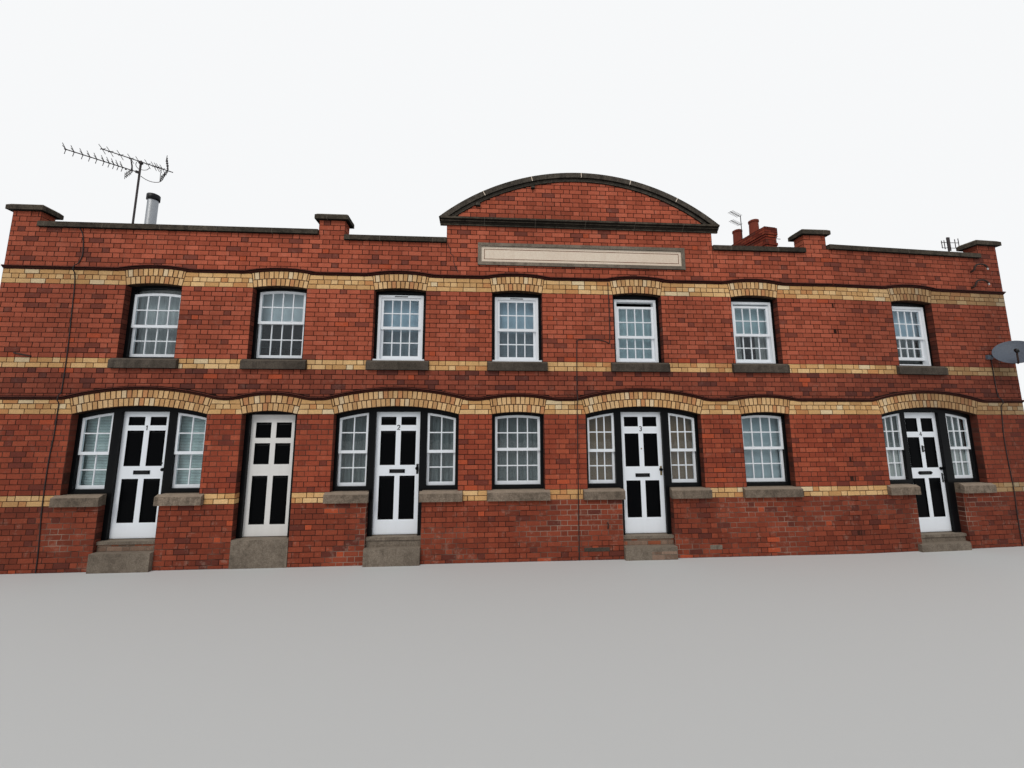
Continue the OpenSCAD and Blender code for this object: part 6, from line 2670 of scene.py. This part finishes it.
@dataclass(frozen=True)
class Fixings:
    """Cables, iron and stones fixed to the street front, laid out as (along, height)."""

    cable: float = 0.008

    def run(self, name: str, line: Points) -> None:
        """One cable, clipped to the wall and led over what stands out from it.

        Its line is sampled every 20 mm; over a string its depth is that of the string.

        Args:
            name: Name of the piece.
            line: Its places along the front and in height.
        """
        path = rounded(line)
        far = np.concatenate(([0], np.cumsum(np.linalg.norm(np.diff(path, axis=0), axis=1))))
        at = np.linspace(0, far[-1], int(far[-1] / 0.02))
        x, z = np.interp(at, far, path[:, 0]), np.interp(at, far, path[:, 1])
        out = np.zeros(len(x))
        for storey in (LOWER, UPPER):
            over = z - storey.wavy(x)
            out = np.where((over > -0.02) & (over < ROW.string + 0.02), 0.044, out)
        soft = np.convolve(np.pad(out, 2, mode="edge"), np.full(5, 0.2), "valid")
        depth = -np.maximum(out * 0.9, soft) - self.cable - 0.002
        made = tube(FrontWall.place(x, depth, z), self.cable)
        make_piece(name, made, Looks.CABLE, "black_gloss")

    def crack(self) -> None:
        """A stepped crack in the parapet, as a thin dark line of painted shade proud of the bricks
        by a hair.
        """
        line = (
            *((-1.884, 5.42), (-1.86, 5.35), (-1.83, 5.3), (-1.835, 5.24), (-1.79, 5.2)),
            *((-1.772, 5.15), (-1.775, 5.08), (-1.75, 5.0), (-1.71, 4.93), (-1.697, 4.88)),
        )
        x, z = np.array(line).T
        made = tube(FrontWall.place(x, np.full(len(x), -0.003), z), 0.006)
        # Painted shade: the crack is drawn as a dark tube, not as a gap.
        make_piece("parapet_crack", made, Looks.CABLE, "parapet_brick")

    def iron(self) -> None:
        """Two bent irons on the last pier, a hook, a small bracket and the arm of the dish."""
        bent = (
            *((0.0, 0.02, 0.0), (0.0, -0.06, 0.01), (0.02, -0.075, 0.11), (0.12, -0.08, 0.15)),
            *((0.24, -0.08, 0.14), (0.31, -0.075, 0.09)),
        )
        starts = ((8.45, 5.215), (8.415, 4.885))
        irons = [[(x + a, b, z + c) for a, b, c in bent] for x, z in starts]
        hook = (
            *((0.846, 0.02, 0.585), (0.846, -0.035, 0.585)),
            *((0.846, -0.045, 0.56), (0.838, -0.04, 0.5)),
        )
        bracket = (
            *((-8.77, 0.01, 3.365), (-8.74, -0.03, 3.36)),
            *((-8.52, -0.03, 3.32), (-8.5, 0.01, 3.31)),
        )
        arm = (
            *((8.56, -0.39, 3.315), (8.51, -0.43, 3.34), (8.492, -0.44, 3.39)),
            *((8.5, -0.435, 3.46), (8.48, -0.45, 3.53)),
        )
        paths = zip((*irons, hook, bracket, arm), (0.017, 0.017, 0.012, 0.012, 0.014))
        tubes = [tube(FrontWall.place(*rounded(path).T), r, 8) for path, r in paths]
        make_piece("wall_irons", joined(tubes), Looks.IRON, "black_gloss")
        line = (
            *((0.0005, -0.022), (0.013, -0.02), (0.018, -0.008), (0.011, 0.0)),
            *((0.016, 0.009), (0.012, 0.02), (0.0005, 0.022)),
        )
        ends = ((8.757, -0.075, 5.27), (8.725, -0.075, 4.955))
        bobs = [turned(line, FrontWall.place(*np.array(e)), (0.3, 0, -1), 12) for e in ends]
        make_piece("insulators", joined(bobs), Looks.INSULATOR, "white_paint")
        line = ((0.0005, -0.03), (0.03, -0.03), (0.032, 0.03), (0.0005, 0.034))
        centre = FrontWall.place(*np.array((8.478, -0.45, 3.54)))
        head = turned(line, centre, (0.5, 0.5, 0.5), 16)
        make_piece("dish_head", head, Looks.DARK_METAL, "dish_metal")

    def stones(self) -> None:
        """A grey vent and a pale stone low on the wall, and lumps under the curved coping."""
        made = front_boxes([(2.591, -0.006, 0.125)], [(2.804, 0.01, 0.2)], 0.003)
        make_piece("low_vent", made, Looks.GREY_STONE, "red_brick")
        made = front_boxes([(0.44, -0.005, 0.133)], [(0.87, 0.01, 0.2)], 0.003)
        make_piece("low_stone", made, Looks.DARK_SILL, "red_brick")
        low = [(-1.395, -0.06, 6.14), (-0.38, -0.06, 6.52)]
        high = [(-1.31, 0.0, 6.2), (-0.31, 0.0, 6.57)]
        made = front_boxes(low, high, 0.01)
        make_piece("coping_lumps", made, Looks.CURVED_STONE, "dark_stone")

    def coping_joints(self) -> None:
        """Pale mortar in the radial joints of the curved coping, proud of its face by 2 mm."""
        r = ROW.pediment_r
        reach = math.acos((ROW.tympanum - ROW.pediment_z) / r)
        count = round(2 * reach * r / ROW.coping_stone)
        turn = -reach + 2 * reach * np.arange(1, count) / count
        half, bed = 0.006 / r, r - ROW.pediment_coping * 0.62

        def place(u: Array, depth: Array, v: Array) -> Array:
            """Places round the centre of the coping, from an angle and a radius."""
            x, z = ROW.pediment_x + v * np.sin(u), ROW.pediment_z + v * np.cos(u)
            return FrontWall.place(x, depth, z)

        low = [(a - half, -0.067, bed + 0.002) for a in turn]
        high = [(a + half, 0.1, r - 0.003) for a in turn]
        made = boxes(low, high, place, 0.0)
        make_piece("coping_joints", made, Looks.CREAM, "dark_stone")

    def border(self) -> None:
        """A worn line painted round the bare panel of the plaque."""
        rim, face = 0.062, -0.012
        half = ROW.plaque_w / 2 - rim
        line = [(0.048, face), (0.049, face - 0.0012), (0.06, face - 0.0012), (0.061, face)]
        low = [[ROW.pediment_x - half, ROW.plaque_z + rim]]
        high = [[ROW.pediment_x + half, ROW.plaque_z + ROW.plaque_h - rim]]
        made = frames(low, high, line, FrontWall.place)
        make_piece("plaque_border", made, Looks.BORDER, "cream_render")

    def build(self) -> None:
        """Builds all of it."""
        for name, line in CABLES.items():
            self.run(name, line)
        self.crack()
        self.iron()
        self.stones()
        self.coping_joints()
        self.border()


# Studio


@dataclass(frozen=True)
class Studio:
    """Floor, light and camera; the lens is given in pixels of the picture."""

    width: int = 1024
    height: int = 768
    focal: float = 409.875
    middle: tuple[float, float] = (506.7288, 369.5125)
    eye: tuple[float, float, float] = (-1.3057, -10.8, 2.1671)
    angles: tuple[float, float, float] = (0.0673, 0.14, -0.0018)

    def floor(self) -> None:
        """A wide flat pale floor."""
        size = 60.0
        corners = [(-size, -size, 0), (size, -size, 0), (size, size, 0), (-size, size, 0)]
        mesh = bpy.data.meshes.new("studio_floor")
        mesh.from_pydata(corners, [], [(0, 1, 2, 3)])
        made = bpy.data.materials.new("studio_floor")
        made.use_nodes = True
        shader = made.node_tree.nodes["Principled BSDF"]
        shader.inputs["Base Color"].default_value = srgb(205, 205, 203)
        shader.inputs["Roughness"].default_value = 0.9
        mesh.materials.append(made)
        floor = bpy.data.objects.new("studio_floor", mesh)
        bpy.context.scene.collection.objects.link(floor)

    def light(self) -> None:
        """A soft sky that is paler high up, and a wide weak sun."""
        world = bpy.data.worlds.new("studio")
        world.use_nodes = True
        bpy.context.scene.world = world
        tree = world.node_tree
        tree.nodes.clear()
        n = Nodes(tree)
        where = n.new("ShaderNodeTexCoord").outputs["Generated"]
        stops = [
            (0.0, (0.2, 0.2, 0.2, 1)),
            (0.3, (0.28, 0.29, 0.3, 1)),
            (0.42, (0.5, 0.53, 0.57, 1)),
            (1.0, (0.66, 0.69, 0.72, 1)),
        ]
        sky = n.ramp(n.span(n.part(where, 2), -0.2, 0.7), stops)
        shown = n.new("ShaderNodeLightPath").outputs["Is Camera Ray"]
        pale = n.mix(shown, sky, (0.93, 0.94, 0.95, 1))
        back = n.new("ShaderNodeBackground", Color=pale, Strength=1.0).outputs[0]
        out = tree.nodes.new("ShaderNodeOutputWorld")
        tree.links.new(back, out.inputs[0])
        lamp = bpy.data.lights.new("key", "SUN")
        lamp.energy = 1.15
        lamp.angle = math.radians(25)
        lamp.color = (1.0, 0.97, 0.92)
        key = bpy.data.objects.new("key", lamp)
        key.rotation_euler = (math.radians(48), 0, math.radians(-28))
        bpy.context.scene.collection.objects.link(key)

    def camera(self) -> None:
        """The camera at the photo's viewing angle."""
        yaw, pitch, roll = self.angles
        level = math.cos(pitch)
        forward = Vector((math.sin(yaw) * level, math.cos(yaw) * level, math.sin(pitch)))
        side = Vector((math.cos(yaw), -math.sin(yaw), 0))
        up = side.cross(forward)
        right = side * math.cos(roll) + up * math.sin(roll)
        up = up * math.cos(roll) - side * math.sin(roll)
        data = bpy.data.cameras.new("photo")
        data.sensor_width = 36.0
        data.lens = self.focal / self.width * data.sensor_width
        data.shift_x = (self.width / 2 - self.middle[0]) / self.width
        data.shift_y = (self.middle[1] - self.height / 2) / self.width
        data.clip_end = 200.0
        camera = bpy.data.objects.new("photo", data)
        turn = Matrix((right, up, -forward)).transposed().to_4x4()
        camera.matrix_world = Matrix.Translation(self.eye) @ turn
        bpy.context.scene.collection.objects.link(camera)
        bpy.context.scene.camera = camera

    def build(self) -> None:
        """Builds all of it."""
        self.floor()
        self.light()
        self.camera()
        bpy.context.scene.view_settings.view_transform = "Standard"


CAD_LOOKS: dict[Looks, tuple[str, ...]] = {
    Looks.PALE_MORTAR: ("plinth_wall",),
    Looks.MORTAR: ("ground_wall", "party_walls", "back_wall"),
    Looks.DARK_MORTAR: (
        "middle_wall", "upper_wall", "parapet_wall", "pediment_wall", "chimney_stack",
    ),
    Looks.YELLOW_MORTAR: (
        "sill_bands", "lower_arch_band", "upper_arch_band", "lower_arches", "upper_arches",
    ),
    Looks.STRING: ("lower_string", "upper_string"),
    Looks.DARK_STONE: ("parapet_copings", "pier_caps", "pediment_cornice"),
    Looks.CURVED_STONE: ("pediment_coping",),
    Looks.SILL_STONE: ("lower_sills",),
    Looks.DARK_SILL: ("upper_sills",),
    Looks.GREY_STONE: ("plaque_frame", "doorsteps"),
    Looks.CREAM: ("plaque_panel",),
    Looks.BLACK: ("entrance_frames", "window_boxes"),
    Looks.WHITE: ("upper_sashes", "lower_sashes", "back_joinery"),
    Looks.GLASS: ("upper_glass", "lower_glass"),
    Looks.SCREED: ("ground_floor",),
    Looks.BOARDS: ("upper_floor",),
    Looks.LEAD: ("roof_slopes",),
    Looks.CLAY: ("chimney_pots",),
    Looks.STEEL: ("flue_pipe",),
    Looks.ALUMINIUM: ("aerials",),
    Looks.DISH: ("satellite_dish",),
    Looks.DOOR_WHITE: tuple(f"door_leaf_{i}" for i in range(1, 5)),
    Looks.DULL_WHITE: ("passage_leaf",),
    Looks.DOOR_BLACK: (*(f"door_fittings_{i}" for i in range(1, 5)), "passage_fittings"),
}


def dress_cad(nodes: dict[str, bpy.types.Object]) -> None:
    """Gives the CAD nodes their finishes.

    Args:
        nodes: The CAD nodes by name.
    """
    for look, names in CAD_LOOKS.items():
        for name in names:
            mesh = nodes[name].data
            mesh.materials.clear()
            mesh.materials.append(look.use())
    LOG.info("dressed %d CAD nodes", sum(len(names) for names in CAD_LOOKS.values()))


def main() -> None:
    """Builds the looks of the row in order."""
    logging.basicConfig(level=logging.INFO, format="%(message)s")
    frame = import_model()
    dress_cad(frame["nodes"])
    StreetBrickwork().build()
    Windows().build()
    Doors().build()
    Shell().build()
    Stack().build()
    Aerials().build()
    Fixings().build()
    Studio().build()


if __name__ == "__main__":
    main()
